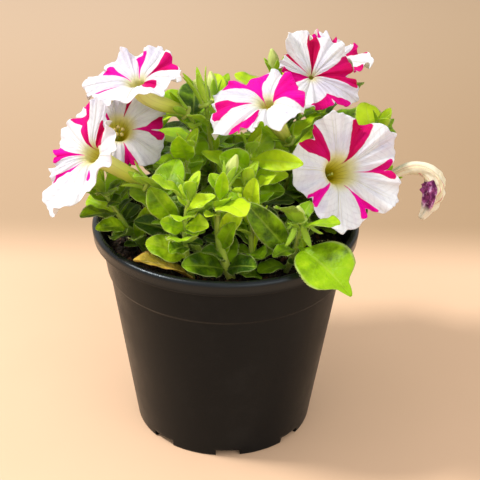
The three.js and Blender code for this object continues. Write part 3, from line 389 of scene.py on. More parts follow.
def bloom_rows(flower, count, tube_rows, limb_rows, frills=None, pinch=1.0):
    """The front skin of a bloom as an array of rows by columns. A pinch under 1 narrows its throat."""
    out, right, high = bloom_frame(flower)
    throat, tube = vec(flower.throat), tube_line(flower)
    reach = np.linalg.norm(throat - vec(flower.foot))
    turns = [i * 5 / count for i in range(count)]
    angles = np.array([lobe_at(flower.lobes, turn)[0] for turn in turns])
    rows = []
    for j in range(tube_rows):
        t = mix((CALYX.height + SOIL.gap) / reach, 1, j / tube_rows)
        ring = ring_of(angles, *sides_of(tube.tangent(t), high))
        rows.append(tube.at(t) + tube_radius(t) * mix(1, pinch, t ** 3) * ring)
    shares = np.arange(limb_rows + 1) / limb_rows
    limb = np.zeros((limb_rows + 1, count, 3))
    for i, turn in enumerate(turns):
        r, h, angle = limb_line(flower, turn, shares, 0.0 if frills is None else frills[i])
        r = r * mix(pinch, 1, smoothstep(0, 0.5, shares))
        limb[:, i] = (throat + np.outer(r * cos(angle), right) + np.outer(r * sin(angle), high)
                      + np.outer(h, out))
    return np.concatenate([np.array(rows), limb])


class Blade:
    """A leaf's middle surface, as in the CAD source: u runs along it and v from edge to edge."""

    def __init__(self, root, tip, face, width, droop=30, cup=16, twist=0, wave=0.8, phase=0,
                 stalk=LEAF.stalk):
        self.root, self.tip, self.width, self.cup, self.twist = vec(root), vec(tip), width, cup, twist
        self.wave, self.phase, self.stalk, self.tail = wave, phase, stalk, None
        chord = self.tip - self.root
        size = math.sqrt(chord @ chord)
        chord = unit(chord)
        self.side = unit(np.cross(chord, vec(face)))
        above = np.cross(self.side, chord)
        self.bend = max(droop, 1) * DEGREES
        c, s = cos(self.bend / 2), sin(self.bend / 2)
        self.length = (size * self.bend) / 2 / s
        self.start = chord * c + above * s
        self.lift = above * c - chord * s

    def at(self, u, v):
        """Places and normals for arrays u and v of one shape, and half the blade's width there."""
        u, v = np.broadcast_arrays(np.asarray(u, float), np.asarray(v, float))
        turn = (self.bend * u)[..., None]
        place = self.root + self.start * (self.length * np.sin(turn) / self.bend)
        place = place + self.lift * (-self.length * (1 - np.cos(turn)) / self.bend)
        flat = self.lift * np.cos(turn) + self.start * np.sin(turn)
        roll = (self.twist * DEGREES * u)[..., None]
        across = self.side * np.cos(roll) + flat * np.sin(roll)
        normal = flat * np.cos(roll) - self.side * np.sin(roll)
        grown = np.maximum(0, (u - self.stalk) / (1 - self.stalk))
        power = math.log(0.5) / math.log(LEAF.widest)
        outline = np.maximum(np.sin(pi * np.minimum(1, grown) ** power), 0) ** LEAF.fullness
        if self.tail:
            outline = outline * (1 - 0.6 * smoothstep(self.tail, self.tail + 0.13, u))
        half = np.maximum((LEAF.stalkWidth / 2) * (1 - grown), (self.width / 2) * outline)
        swing = np.sin(15 * u + self.phase + 1.3 * np.sign(v))
        ripple = self.wave * (half / self.width) * swing * np.abs(v)
        place = place + across * (v * half * cos(self.cup * DEGREES))[..., None]
        rise = np.abs(v) * half * sin(self.cup * DEGREES) + ripple
        return place + normal * rise[..., None], normal, half

    def places(self):
        """Places all over the blade, and which of them are clear of its stalk."""
        rows = math.ceil(self.length / ROOM.spacing)
        columns = math.ceil(self.width / (2 * ROOM.spacing))
        u = np.repeat(np.arange(1, rows + 1) / rows, 2 * columns + 1)
        v = np.tile(np.arange(-columns, columns + 1) / columns, rows)
        return self.at(u, v)[0], u > ROOM.outer


# What is placed already: places, how near others may come, whose they are, and whether
# the owner's other leaves keep clear of them too
held = [[], [], [], []]
owners = {}


def hold(owner, places, radius, outer=None):
    places = np.atleast_2d(places)
    count = len(places)
    whose = np.full(count, owners.setdefault(owner, len(owners)))
    outer = np.zeros(count, bool) if outer is None else outer
    for part, new in zip(held, (places, np.full(count, float(radius)), whose, outer)):
        part.append(new)


def clear_of(places, outer, owner, near_by=1.0):
    reach = np.hypot(places[:, 0], places[:, 1])
    inside = pot_inner_radius(POT.height - POT.lipDrop) - ROOM.rim
    over_rim = (reach >= inside) & (reach < POT.rimRadius + ROOM.rim)
    for there, level in ((reach < inside, SOIL.level + ROOM.soil), (over_rim, POT.height + ROOM.rim)):
        if np.any(there & (places[:, 2] < level)):
            return False
    for part in held:
        if len(part) > 1:
            part[:] = [np.concatenate(part)]
    widest = held[1][0].max()
    low, high = places.min(0) - widest, places.max(0) + widest
    near = np.all((held[0][0] > low) & (held[0][0] < high), axis=1)
    others, radius, whose, free = (part[0][near] for part in held)
    same = whose == owners[owner]
    apart = (places ** 2).sum(1)[:, None] + (others ** 2).sum(1)[None, :] - 2 * places @ others.T
    limit = (near_by * np.where(same, ROOM.own, radius)) ** 2
    counts = ~same[None, :] | (outer[:, None] & free[None, :])
    return not np.any((apart < limit[None, :]) & counts)


def tuft(foot, ahead, members):
    across, above = sides_of(ahead)
    for angle, lift, radius, length, lean, width in members:
        outward = across * cos(angle) + above * sin(angle)
        root = foot + ahead * lift + outward * radius
        tip = root + ahead * (length * cos(lean)) + outward * (length * sin(lean))
        yield Blade(root, tip, ahead - outward, width, **YOUNG, wave=0, stalk=0)


# The plant's layout, in the CAD source's order
flowers = {flower.name: flower for flower in BLOOMS}
wilted_line = Curve(*WILTED.line)
stem_shares = [k / ROOM.stemPlaces for k in range(ROOM.stemPlaces + 1)]
plant = {}


def grow(name, blade, kind):
    plant[name].blades.append((blade, kind))
    places, outer = blade.places()
    hold(name, places, ROOM.leaf, outer)


for name, stem, bears, toward, leaves, size, *thick in SHOOTS:
    flower = flowers.get(bears)
    curve = arc(*stem, flower.foot) if flower else arc(*stem)
    ahead = unit(vec(flower.throat) - curve.at(1)) if flower else unit(vec(toward))
    ending = ENDINGS.get("bloom" if bears.startswith("bloom") else bears)
    thick = thick[0] if thick else STEM.baseRadius
    plant[name] = Table(curve=curve, ahead=ahead, ending=ending, thick=thick, blades=[], flower=flower,
                        leaves=leaves, size=size, outside=math.atan2(stem[1][1], stem[1][0]))
    for t in stem_shares:
        hold(name, curve.at(t), mix(thick, STEM.tipRadius, t) + ROOM.stem)

old_leaf = Blade(OLD_LEAF.root, OLD_LEAF.tip, UP, OLD_LEAF.width, droop=OLD_LEAF.droop)
hold("old_leaf", old_leaf.places()[0], ROOM.leaf)
for flower in BLOOMS:
    watched = bloom_rows(flower, ROOM.bloomColumns, ROOM.bloomTubeRows, ROOM.bloomLimbRows)
    hold(flower.name, watched.reshape(-1, 3), ROOM.bloom)
hold("bloom_wilted", np.array([wilted_line.at(t) for t in stem_shares]), max(WILTED.radii) + 0.5)

for name, item in plant.items():
    ending = item.ending
    if ending:
        members = [(TURN * i / CALYX.sepals + 0.3, 0.4 * CALYX.height, CALYX.radius - 1.6, ending.length,
                    ending.spread * DEGREES, CALYX.sepalWidth) for i in range(CALYX.sepals)]
    else:
        members = [(2.4 * i, -1.5 - 0.5 * i, 0.3, ROSETTE.length,
                    ROSETTE.spread * (1 - 0.7 * i / ROSETTE.leaves) * DEGREES, ROSETTE.width)
                   for i in range(ROSETTE.leaves)]
    for blade in tuft(item.curve.at(1), item.ahead, members):
        grow(name, blade, "sepal" if ending else "young")


def grow_clear(name, kind, describe, tries=ROOM.tries, near_by=1.0):
    for attempt in range(tries):
        blade = Blade(**describe(attempt))
        if clear_of(*blade.places(), name, near_by):
            grow(name, blade, kind)
            return


def sprout(curve, share, angle, rise, length, lean, kind):
    """A leaf on a stem, from its place, heading and length. The kind gives the ranges of the rest."""
    root, level = curve.at(share), cos(rise)
    ahead = vec([cos(angle) * level, sin(angle) * level, sin(rise)])
    return dict(root=root, tip=root + ahead * length, face=UP + ahead * lean,
                width=length * draw(*kind.widths), droop=draw(*kind.droops), cup=kind.cup,
                twist=draw(-kind.twist, kind.twist), wave=kind.wave, phase=draw(0, 6))


for name, share, tip, width, droop, face in LARGE_LEAVES:
    def describe(attempt):
        shift = vec([draw(-1, 1), draw(-1, 1), draw(-1, 1)]) * (MOVING.shift * attempt)
        return dict(root=plant[name].curve.at(share), tip=shift + vec(tip), face=face, droop=droop,
                    width=width * (1 - MOVING.shrink * attempt), phase=draw(0, 6))
    grow_clear(name, "large", describe)

for name, item in plant.items():
    for k in range(item.leaves):
        middle = mix(*FILLING.shares, (k + 0.5) / item.leaves)
        around = (k * FILLING.turnStep + FILLING.turnStart) % 360 - 180
        turn = item.outside + FILLING.outwards * around * DEGREES

        def describe(attempt):
            share = middle + draw(-FILLING.shareShift, FILLING.shareShift)
            angle = turn + draw(-FILLING.turnShift, FILLING.turnShift)
            rise = mix(draw(*FILLING.riseAtFoot), draw(*FILLING.riseAtEnd), share) * DEGREES
            grown = item.size * mix(*FILLING.taper, share) * draw(*FILLING.lengths)
            length = grown * (1 - FILLING.shrink * attempt)
            return sprout(item.curve, share, angle, rise, length, draw(FILLING.lean, 0), FILLING)
        grow_clear(name, "leaf", describe)

for name, count in SMALL_LEAVES.items():
    for k in range(count):
        def describe(attempt):
            share, angle = (k + draw(0, 1)) / count * 0.9 + 0.04, draw(-180, 180) * DEGREES
            rise, length = draw(*SMALL.rise) * DEGREES, draw(*SMALL.size) * mix(*SMALL.taper, k / count)
            return sprout(plant[name].curve, share, angle, rise, length, SMALL.lean, SMALL)
        grow_clear(name, "small", describe, SMALL.tries, SMALL.near)


def linked(name, data):
    made = bpy.data.objects.new(name, data)
    bpy.context.scene.collection.objects.link(made)
    return made


class Skin:
    """A mesh in the making: places, faces with their UVs and materials, and numbers by vertex."""

    def __init__(self, *fields):
        self.places, self.faces, self.uvs, self.slots, self.count = [], [], [], [], 0
        self.fields = {name: [] for name in fields}

    def put(self, corners, uvs, slot):
        self.faces += (corners + self.count).tolist()
        self.uvs.append(uvs.reshape(-1, 2))
        self.slots += [slot] * len(corners)

    def close(self, places, numbers):
        self.places.append(places.reshape(-1, 3))
        for name, values in self.fields.items():
            value = np.asarray(numbers.get(name, 0.0), float)
            values.append(np.broadcast_to(value, places.shape[:-1]).ravel())
        self.count += len(self.places[-1])

    def grid(self, places, uv, slot=0, caps=True, turn=1.0, **numbers):
        """Rows of places that run round, closed at both ends by caps. A turn is one round in UV."""
        rows, columns = places.shape[:2]
        i, j = np.meshgrid(np.arange(rows - 1), np.arange(columns), indexing="ij")
        k = (j + 1) % columns
        below, above = i * columns, (i + 1) * columns
        corners = np.stack([below + j, below + k, above + k, above + j], -1).reshape(-1, 4)
        flat = uv.reshape(-1, 2)
        loops = flat[corners]
        loops[k.ravel() == 0, 1:3, 0] += turn
        self.put(corners, loops, slot)
        if caps:
            end = np.arange(columns)
            for cap in (end[::-1], end + (rows - 1) * columns):
                self.put(cap[None], flat[cap], slot)
        self.close(places, numbers)

    def loose(self, places, corners, slot=0, **numbers):
        """Faces of one size given by their corners."""
        self.put(corners, np.zeros((corners.size, 2)), slot)
        self.close(places, numbers)

    def mesh(self, name):
        mesh = bpy.data.meshes.new(name)
        mesh.from_pydata((np.concatenate(self.places) * METRES).tolist(), [], self.faces)
        return mesh

    def finish(self, name, materials, record_slot, *nodes, rounded=True):
        mesh = self.mesh(name)
        layer = mesh.uv_layers.new(name="UVMap")
        layer.data.foreach_set("uv", np.concatenate(self.uvs).astype(np.float32).ravel())
        for key, values in self.fields.items():
            attribute = mesh.attributes.new(key, "FLOAT", "POINT")
            attribute.data.foreach_set("value", np.concatenate(values).astype(np.float32))
        mesh.polygons.foreach_set("use_smooth", [rounded] * len(mesh.polygons))
        for material in materials:
            mesh.materials.append(material)
        mesh.polygons.foreach_set("material_index", self.slots)
        mesh.update()
        piece = linked(name, mesh)
        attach(piece, "root")
        if nodes:
            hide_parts(*nodes)
        return piece


def rings_round(centres, radii, sides, reference=ASIDE, swell=None):
    """Rings of places round a line of centres. swell(share, angles) may change each ring's radius."""
    centres = np.asarray(centres, float)
    last = len(centres) - 1
    angles = TURN * np.arange(sides) / sides
    rings = []
    for k, centre in enumerate(centres):
        ahead = unit(centres[min(k + 1, last)] - centres[max(k - 1, 0)])
        across, above = sides_of(ahead, reference)
        radius = radii[k] * (1 if swell is None else swell(k / last, angles))
        wide, tall = radius * np.cos(angles), radius * np.sin(angles)
        rings.append(centre + np.outer(wide, across) + np.outer(tall, above))
    return np.array(rings)


def rod_uv(rings):
    middle = rings.mean(1)
    run = np.concatenate([[0], np.cumsum(np.linalg.norm(np.diff(middle, axis=0), axis=1))])
    return np.stack(np.meshgrid(np.arange(rings.shape[1]) / rings.shape[1], run / 10, indexing="xy"), -1)


def add_rod(skin, centres, radii, sides, slot=0, swell=None, **numbers):
    rings = rings_round(centres, radii, sides, swell=swell)
    skin.grid(rings, rod_uv(rings), slot, **numbers)


# Rows and columns of each kind of blade, its veins on a side, and how far its edge waves
BLADES = {"large": (26, 12, 6, 0.95), "leaf": (20, 10, 5, 0.95), "small": (14, 8, 5, 0.5),
          "young": (12, 6, 0, 0), "sepal": (12, 6, 0, 0)}


def add_blade(skin, blade, kind, tone):
    rows, columns, veins, edge_wave = BLADES[kind]
    u = (np.arange(rows + 1) / rows)[:, None]
    u = np.where(u == 1, 0.992, u)
    v = np.linspace(-1, 1, columns + 1)[None, :]
    v = np.sin(v * pi / 2) * 0.35 + v * 0.65
    place, normal, half = blade.at(u, v)
    size = np.abs(v)
    midrib, firm, broad = bell(v * half, 0.9), np.minimum(1, half / 3), np.minimum(1, half / 5)
    # Puckers between the side veins, and waves along the edge
    pucker = np.cos(TURN * (veins * (u - 0.24 * size ** 1.3) + 0.1))
    pucker = 0.32 * pucker * np.sin(pi * np.minimum(1, size * 1.05)) * broad
    waves = (0.35 * np.sin(23 * u + 2.3 * blade.phase + 2 * np.sign(v))
             + np.sin(9 * u + 5.1 * blade.phase + np.sign(v)))
    relief = (pucker + edge_wave * v ** 2 * waves * broad if veins else 0) - 0.35 * midrib * firm
    body = mix(1.25, 0.62 if veins else 0.8, smoothstep(0, 0.22, u)) * mix(1, 0.55, u)
    thick = body * (1 - 0.72 * size ** 2.2)
    over = place + normal * (relief + thick / 2)[..., None]
    keel = 0.45 * midrib * firm * (1 - 0.6 * u)
    under = place + normal * (relief - thick / 2 - keel)[..., None]

    def around(upper, lower):
        return np.concatenate([upper, lower[:, -2:0:-1]], 1)

    wide = np.broadcast_to(v, half.shape)
    width = around(wide, wide)
    side = around(np.zeros((1, columns + 1)), np.ones((1, columns + 1)))
    side[0, [0, columns]] = 0.35
    uv = np.stack([width * 0.5 + 0.5, np.broadcast_to(u, width.shape)], -1)
    skin.grid(around(over, under), uv, turn=0, tone=tone, under=side, size=blade.width / 20)


def add_hairs(skin, places, normals):
    """Short fine hairs, each a thin upright triangle."""
    count = len(places)
    if not count:
        return
    lean = units(normals + noise.normal(0, HAIR.spread, (count, 3)))
    side = units(np.cross(lean, noise.normal(0, 1, (count, 3)))) * HAIR.half_width
    tall = HAIR.length * noise.uniform(*HAIR.lengths, count)[:, None]
    base = places - normals * HAIR.sunk
    corners = np.stack([base - side, base + side, base + lean * tall], 1).reshape(-1, 3)
    skin.loose(corners, np.arange(3 * count).reshape(-1, 3), 2, tone=0.5)


class Value:
    """An output in a material's node tree. Arithmetic with it adds Math nodes."""

    def __init__(self, shade, socket):
        self.shade, self.socket = shade, socket

    def __abs__(self):
        return self.shade.math("ABSOLUTE", self)


for sign, operation in (("add", "ADD"), ("sub", "SUBTRACT"), ("mul", "MULTIPLY"), ("truediv", "DIVIDE")):
    setattr(Value, f"__{sign}__", lambda a, b, name=operation: a.shade.math(name, a, b))
    setattr(Value, f"__r{sign}__", lambda b, a, name=operation: b.shade.math(name, a, b))


class Shade:
    """A material's node tree, with short calls for its nodes."""

    def __init__(self, name):
        self.material = bpy.data.materials.new(name)
        self.material.use_nodes = True
        self.tree = self.material.node_tree
        self.surface = self.tree.nodes["Principled BSDF"]
        self.coords = self.tree.nodes.new("ShaderNodeTexCoord").outputs
        self.normal = None

    def put(self, socket, value):
        value = getattr(value, "socket", value)
        if isinstance(value, bpy.types.NodeSocket):
            self.tree.links.new(value, socket)
        elif isinstance(value, tuple) and len(value) < len(socket.default_value):
            socket.default_value = (*value, 1)
        else:
            socket.default_value = value

    def node(self, kind, inputs, output=0, **settings):
        node = self.tree.nodes.new("ShaderNode" + kind)
        for name, setting in settings.items():
            setattr(node, name, setting)
        for name, value in inputs.items():
            self.put(node.inputs[name], value)
        return Value(self, node.outputs[output])

    def number(self, name):
        return self.node("Attribute", {}, "Fac", attribute_name=name)

    def math(self, operation, a, b=0.0):
        return self.node("Math", {0: a, 1: b}, operation=operation)

    def most(self, a, b):
        return self.math("MAXIMUM", a, b)

    def line(self, value, repeats=1):
        """How far a value is from the middle between two whole numbers, for evenly spaced lines."""
        return abs(self.math("FRACT", value * repeats if repeats > 1 else value) - 0.5)

    def ramp(self, value, low, high, to_low=0.0, to_high=1.0):
        inputs = {"Value": value, "From Min": low, "From Max": high, "To Min": to_low, "To Max": to_high}
        return self.node("MapRange", inputs, "Result", interpolation_type="SMOOTHSTEP")

    def mix(self, share, a, b, blend="MIX"):
        inputs = {"Factor": share, "A": a, "B": b}
        return self.node("Mix", inputs, "Result", data_type="RGBA", blend_type=blend)

    def scaled(self, where, scale, turn=(0, 0, 0)):
        inputs = {"Vector": self.coords[where], "Scale": scale, "Rotation": turn}
        return self.node("Mapping", inputs, "Vector")

    def noise(self, scale, detail=3.0, rough=0.55, vector=None):
        where = {"Vector": vector or self.coords["Object"]}
        return self.node("TexNoise", {**where, "Scale": scale, "Detail": detail, "Roughness": rough}, "Fac")

    def cells(self, scale, feature="F1"):
        inputs = {"Vector": self.coords["Object"], "Scale": scale}
        return self.node("TexVoronoi", inputs, "Distance", feature=feature)

    def split(self, where):
        parts = self.node("SeparateXYZ", {0: self.coords[where]}).socket.node.outputs
        return [Value(self, part) for part in parts]

    def bump(self, height, strength, distance):
        inputs = {"Strength": strength, "Distance": distance, "Height": height}
        self.normal = self.node("Bump", inputs, "Normal")
        self.put(self.surface.inputs["Normal"], self.normal)

    def set(self, colour, rough, **values):
        """The surface's colour and roughness, which may run between two values, and its other numbers."""
        rough = self.ramp(rough[0], 0.3, 0.7, *rough[1:]) if isinstance(rough, tuple) else rough
        for name, value in {"Base_Color": colour, "Roughness": rough, **values}.items():
            self.put(self.surface.inputs[name.replace("_", " ")], value)
        return self.material

    def through(self, share, colour):
        """Lets light through, as thin leaves and petals do."""
        facing = {"Normal": self.normal} if self.normal else {}
        clear = self.node("BsdfTranslucent", {"Color": colour, **facing})
        both = self.node("MixShader", {0: share, 1: self.surface.outputs[0], 2: clear})
        self.put(self.tree.nodes["Material Output"].inputs["Surface"], both)
        return self.material


def leaf_material():
    s = Shade("leaf_green")
    across, along, _ = s.split("UV")
    side, tone = abs(across - 0.5), s.number("tone")
    patches, broad = s.noise(140, 4, 0.6), s.noise(38, 2, 0.5)
    # Dark to light green by random patches and each leaf's tone; the tone also holds painted sunlight on high
    # leaves and painted shade on low ones
    shade = patches * 0.55 + broad * 0.45 + (tone - 0.4) * 0.4
    colour = s.mix(s.ramp(shade, 0.32, 0.58), (0.018, 0.072, 0.001), (0.36, 0.63, 0.002))
    colour = s.mix(s.ramp(tone + (patches - 0.5) * 1.1, 0.42, 0.95), colour, (0.68, 0.88, 0.015))
    # Side veins run outwards and forwards from the midrib
    veins = s.ramp(s.line((along - side * 0.52) * 6 + broad * 0.25), 0.07, 0) * s.ramp(side, 0.5, 0.28)
    midrib = s.ramp(side - 0.016 / s.most(s.number("size"), 0.25), 0.02, 0)
    net = s.ramp(s.cells(520, "DISTANCE_TO_EDGE"), 0.12, 0)
    veins = s.most(s.most(midrib * 0.34, veins * 0.16), net * 0.08)
    colour = s.mix(veins, colour, (0.6, 0.76, 0.08))
    # A pale margin at the hairy edge, partly the edge's own colour and partly painted light caught in its
    # hairs
    margin = s.ramp(side, 0.44, 0.495) * s.ramp(along, 0.1, 0.3)
    colour = s.mix(margin * 0.7, colour, (0.8, 0.9, 0.32))
    colour = s.mix(s.number("under") * 0.8, colour, s.mix(0.45, colour, (0.42, 0.56, 0.12)))
    s.bump(s.cells(700) * 0.5 - veins * 0.8 + s.noise(900, 2) * 0.3, 0.55, 0.0005)
    s.set(colour, (patches, 0.37, 0.55), Specular_IOR_Level=0.29, Sheen_Weight=0.06, Sheen_Roughness=0.4)
    return s.through(0.42, s.mix(0.5, colour, (0.66, 0.82, 0.006)))


def stem_material():
    s = Shade("stem_green")
    streak = s.noise(60, 3, 0.6, s.scaled("Object", (1, 1, 0.25)))
    fine = s.noise(700, 2, 0.5, s.scaled("Object", (1, 1, 0.3)))
    colour = s.mix(s.ramp(streak, 0.35, 0.68), (0.26, 0.4, 0.02), (0.48, 0.6, 0.06))
    colour = s.mix(s.ramp(s.noise(45, 2), 0.5, 0.72) * 0.45, colour, (0.36, 0.2, 0.07))
    colour = s.mix(s.ramp(s.number("tone"), 0.4, 1), colour, (0.5, 0.58, 0.14))
    s.bump(fine + streak * 0.4, 0.5, 0.0005)
    return s.set(colour, (fine, 0.42, 0.6), Sheen_Weight=0.2)


def hair_material():
    s = Shade("fine_hairs")
    colour = s.mix(s.noise(400), (0.72, 0.82, 0.22), (0.9, 0.94, 0.5))
    s.set(colour, 0.5)
    return s.through(0.4, colour)


def anther_material():
    s = Shade("anther")
    colour = s.mix(s.ramp(s.number("tone"), 0.3, 0.7), (0.5, 0.4, 0.12), (0.34, 0.38, 0.06))
    colour = s.mix(s.ramp(s.noise(900, 3), 0.45, 0.65) * 0.5, colour, (0.7, 0.62, 0.3))
    s.bump(s.noise(1400, 3), 0.6, 0.0005)
    return s.set(colour, 0.6)


def petal_material():
    s = Shade("petal_skin")
    turn, share, _ = s.split("UV")
    back, tall = s.number("back"), s.number("tall")
    strips = s.noise(1, 3, 0.6, s.scaled("UV", (26, 2.2, 1)))
    fine = s.noise(1, 2, 0.6, s.scaled("UV", (70, 5, 1)))
    mottle = s.noise(260, 3, 0.6)
    # White, with a lavender-grey tint in places, partly real and partly painted shade, and thin lines along
    # each petal
    white = s.mix(s.ramp(s.noise(48, 3, 0.6), 0.42, 0.72), (0.9, 0.91, 0.94), (0.77, 0.74, 0.87))
    # Painted grey shade in streaks along each petal, where the bump also makes fine folds
    white = s.mix(s.ramp(strips, 0.5, 0.75) * 0.38, white, (0.52, 0.48, 0.6))
    middle = s.line(turn)
    # A pair of lines beside each petal's middle, painted shade in the creases there
    pair = s.ramp(abs(middle - 0.026), 0.014, 0)
    white = s.mix(pair * s.ramp(share, 1, 0.35) * 0.6, white, (0.72, 0.7, 0.5))
    # Side veins leave the middle pair and run out to the edge
    rib = s.ramp(s.line(share - middle * 1.1, 7), 0.06, 0) * s.ramp(middle, 0.46, 0.3)
    white = s.mix(rib * 0.16, white, (0.55, 0.5, 0.6))
    # Magenta between the petals, more crimson in places, with deeper lines; the crimson is partly painted
    # shade
    hue = s.number("hue") + (s.noise(60, 2, 0.5) - 0.5) * 1.4
    magenta = s.mix(s.ramp(hue, 0, 1), (0.6, 0, 0.085), (0.97, 0, 0.43))
    magenta = s.mix(s.ramp(fine, 0.5, 0.74) * 0.45, magenta, (0.36, 0, 0.06))
    ragged = strips + (fine + mottle) * 0.45
    marked = s.ramp(s.number("wedge") + (ragged * 0.8 - 0.76), -0.2, 0.22)
    front = s.mix(marked, white, magenta)
    # The outside: paler, with the magenta showing through
    shown = s.mix(marked * 0.62, (0.84, 0.78, 0.74), (0.82, 0.2, 0.45))
    shown = s.mix(s.ramp(strips, 0.55, 0.7) * 0.3, shown, (0.66, 0.5, 0.52))
    # The tube and throat: cream outside, yellow-green inside, with fine dark veins
    lines = s.ramp(s.line(turn, 3), 0.1, 0)
    inside = s.mix(s.ramp(tall, 0.55, 1), (1, 0.88, 0.02), (1, 0.96, 0.26))
    inside = s.mix(lines * 0.4, inside, (0.42, 0.32, 0.04))
    front = s.mix(s.ramp(share, 0.3, -0.02) * (1 - marked) * 0.85, front, (0.93, 0.88, 0.36))
    front = s.mix(s.ramp(share, 0.03, -0.15), front, inside)
    outside = s.mix(s.ramp(tall, 0.1, 0.85), (0.74, 0.82, 0.08), (0.97, 0.93, 0.36))
    outside = s.mix(lines * 0.22, outside, (0.5, 0.46, 0.18))
    shown = s.mix(s.ramp(share, 0.35, -0.05), shown, outside)
    colour = s.mix(back, front, shown)
    s.bump(strips * 0.8 + fine * 0.5 - (pair + rib) * 0.35 + s.noise(1500, 2) * 0.12, 0.7, 0.0006)
    s.set(colour, (mottle, 0.5, 0.68), Specular_IOR_Level=0.12)
    return s.through(s.ramp(share, 0.05, -0.4, 0.28, 0.45) * (1 - back * 0.45), colour)


def wilted_material():
    s = Shade("wilted_skin")
    stripes = s.noise(1, 0.5, 0.5, s.scaled("UV", (8, 0.22, 1)))
    mottle = s.noise(230, 4, 0.7)
    tube = s.mix(s.ramp(stripes, 0.4, 0.7), (0.92, 0.88, 0.7), (0.84, 0.74, 0.48))
    tube = s.mix(s.ramp(abs(stripes - 0.6), 0.014, 0), tube, (0.6, 0.1, 0.16))
    limp = s.mix(s.ramp(mottle, 0.36, 0.6), (0.1, 0.005, 0.07), (0.46, 0.1, 0.34))
    limp = s.mix(s.ramp(s.noise(420, 3), 0.55, 0.7), limp, (0.74, 0.42, 0.66))
    colour = s.mix(s.ramp(s.number("limp") + (mottle - 0.5) * 0.8, 0.4, 0.55), tube, limp)
    colour = s.mix(s.ramp(s.number("along"), 0.9, 0.95), colour, (0.86, 0.8, 0.66))
    s.bump(stripes * 0.9 + mottle * 0.9, 0.9, 0.0012)
    s.set(colour, (mottle, 0.45, 0.65), Specular_IOR_Level=0.25)
    return s.through(0.18, colour)


def pot_material():
    s = Shade("nursery_pot")
    grain = s.noise(1600, 3, 0.6)
    dust = s.noise(60, 5, 0.65)
    streaks = s.noise(50, 4, 0.6, s.scaled("Object", (1, 1, 0.08)))
    colour = s.mix(s.ramp(dust, 0.45, 0.8), (0.003, 0.0034, 0.0043), (0.0068, 0.007, 0.0077))
    colour = s.mix(s.ramp(s.noise(520, 4, 0.7), 0.66, 0.8) * 0.3, colour, (0.07, 0.052, 0.038))
    s.bump(grain + streaks * 0.35, 0.3, 0.0003)
    rough = s.ramp(dust * 0.6 + streaks * 0.4, 0.35, 0.68, 0.3, 0.44)
    # The lip has been handled smooth and shines a little more
    lip = s.ramp(s.split("Object")[2], 0.1035, 0.1065)
    shine = 0.14 + lip * 0.22
    return s.set(colour, rough - lip * 0.06, Specular_IOR_Level=shine, Specular_Tint=(0.8, 0.92, 1))


def soil_material(name, dark, light):
    s = Shade(name)
    lumps = s.noise(240, 5, 0.7)
    fibre = s.noise(420, 4, 0.7, s.scaled("Object", (1, 0.3, 1), (0.4, 0.2, 0.7)))
    colour = s.mix(s.ramp(lumps, 0.35, 0.7), dark, light)
    colour = s.mix(s.ramp(fibre, 0.6, 0.74) * 0.6, colour, (0.24, 0.1, 0.045))
    s.bump(lumps + s.cells(380) * 0.7, 1, 0.002)
    return s.set(colour, (lumps, 0.72, 0.95), Specular_IOR_Level=0.25)


def old_leaf_material():
    s = Shade("yellowed_leaf")
    across, along, _ = s.split("UV")
    side = abs(across - 0.5)
    patches = s.noise(110, 4, 0.65)
    colour = s.mix(s.ramp(patches, 0.36, 0.62), (0.36, 0.27, 0.02), (0.72, 0.5, 0.05))
    colour = s.mix(s.ramp(s.noise(190, 4, 0.7), 0.56, 0.7) * 0.7, colour, (0.22, 0.1, 0.02))
    colour = s.mix(s.ramp(side, 0.4, 0.5), colour, (0.3, 0.14, 0.03))
    veins = s.most(s.ramp(side, 0.035, 0.01), s.ramp(s.line(along - side * 0.5, 6), 0.08, 0) * 0.5)
    colour = s.mix(veins * 0.7, colour, (0.78, 0.62, 0.22))
    s.bump(s.noise(500, 3) - veins, 0.8, 0.0007)
    s.set(colour, (patches, 0.5, 0.7))
    return s.through(0.25, colour)


def floor_material():
    s = Shade("pale_table")
    sideways, away, _ = s.split("Object")
    near = s.mix(s.ramp(s.noise(3, 4, 0.6), 0.3, 0.7), (0.72, 0.485, 0.314), (0.765, 0.515, 0.338))
    # The far part is darker, as painted shade standing in for a shaded backdrop: darkest just past the near
    # part, lighter further off, and darker to the right
    far = s.mix(s.ramp(away, 0.2, 0.75), (0.468, 0.32, 0.199), (0.585, 0.424, 0.289))
    far = s.mix(s.ramp(sideways, -0.15, 0.3), far, s.mix(1, far, (0.84, 0.81, 0.74), "MULTIPLY"))
    s.bump(s.noise(900, 3), 0.08, 0.0004)
    return s.set(s.mix(s.ramp(away, 0.14, 0.215), near, far), 0.7, Specular_IOR_Level=0.2)


LEAFY = [leaf_material(), stem_material(), hair_material(), anther_material()]
PETAL = petal_material()


def smooth_profile(points, count):
    """Radii along a run of (distance, radius) rings, eased between them."""
    distance, radius = np.array(points, float).T
    run = np.linspace(distance[0], distance[-1], count)
    slope = np.gradient(radius, distance)
    k = np.clip(np.searchsorted(distance, run, "right"), 1, len(distance) - 1) - 1
    span = distance[k + 1] - distance[k]
    t = (run - distance[k]) / span
    eased = ((2 * t ** 3 - 3 * t ** 2 + 1) * radius[k] + (t ** 3 - 2 * t ** 2 + t) * (slope[k] * span)
             + (3 * t ** 2 - 2 * t ** 3) * radius[k + 1] + (t ** 3 - t ** 2) * (slope[k + 1] * span))
    return run, np.maximum(eased, 0.3)


def ribbed(size, count, twist=0, shift=0):
    """A swelling for rings_round: so many ribs of this size, twisted along the rod."""
    return lambda t, angles: 1 + size * np.cos(count * (angles - shift) + twist * t)


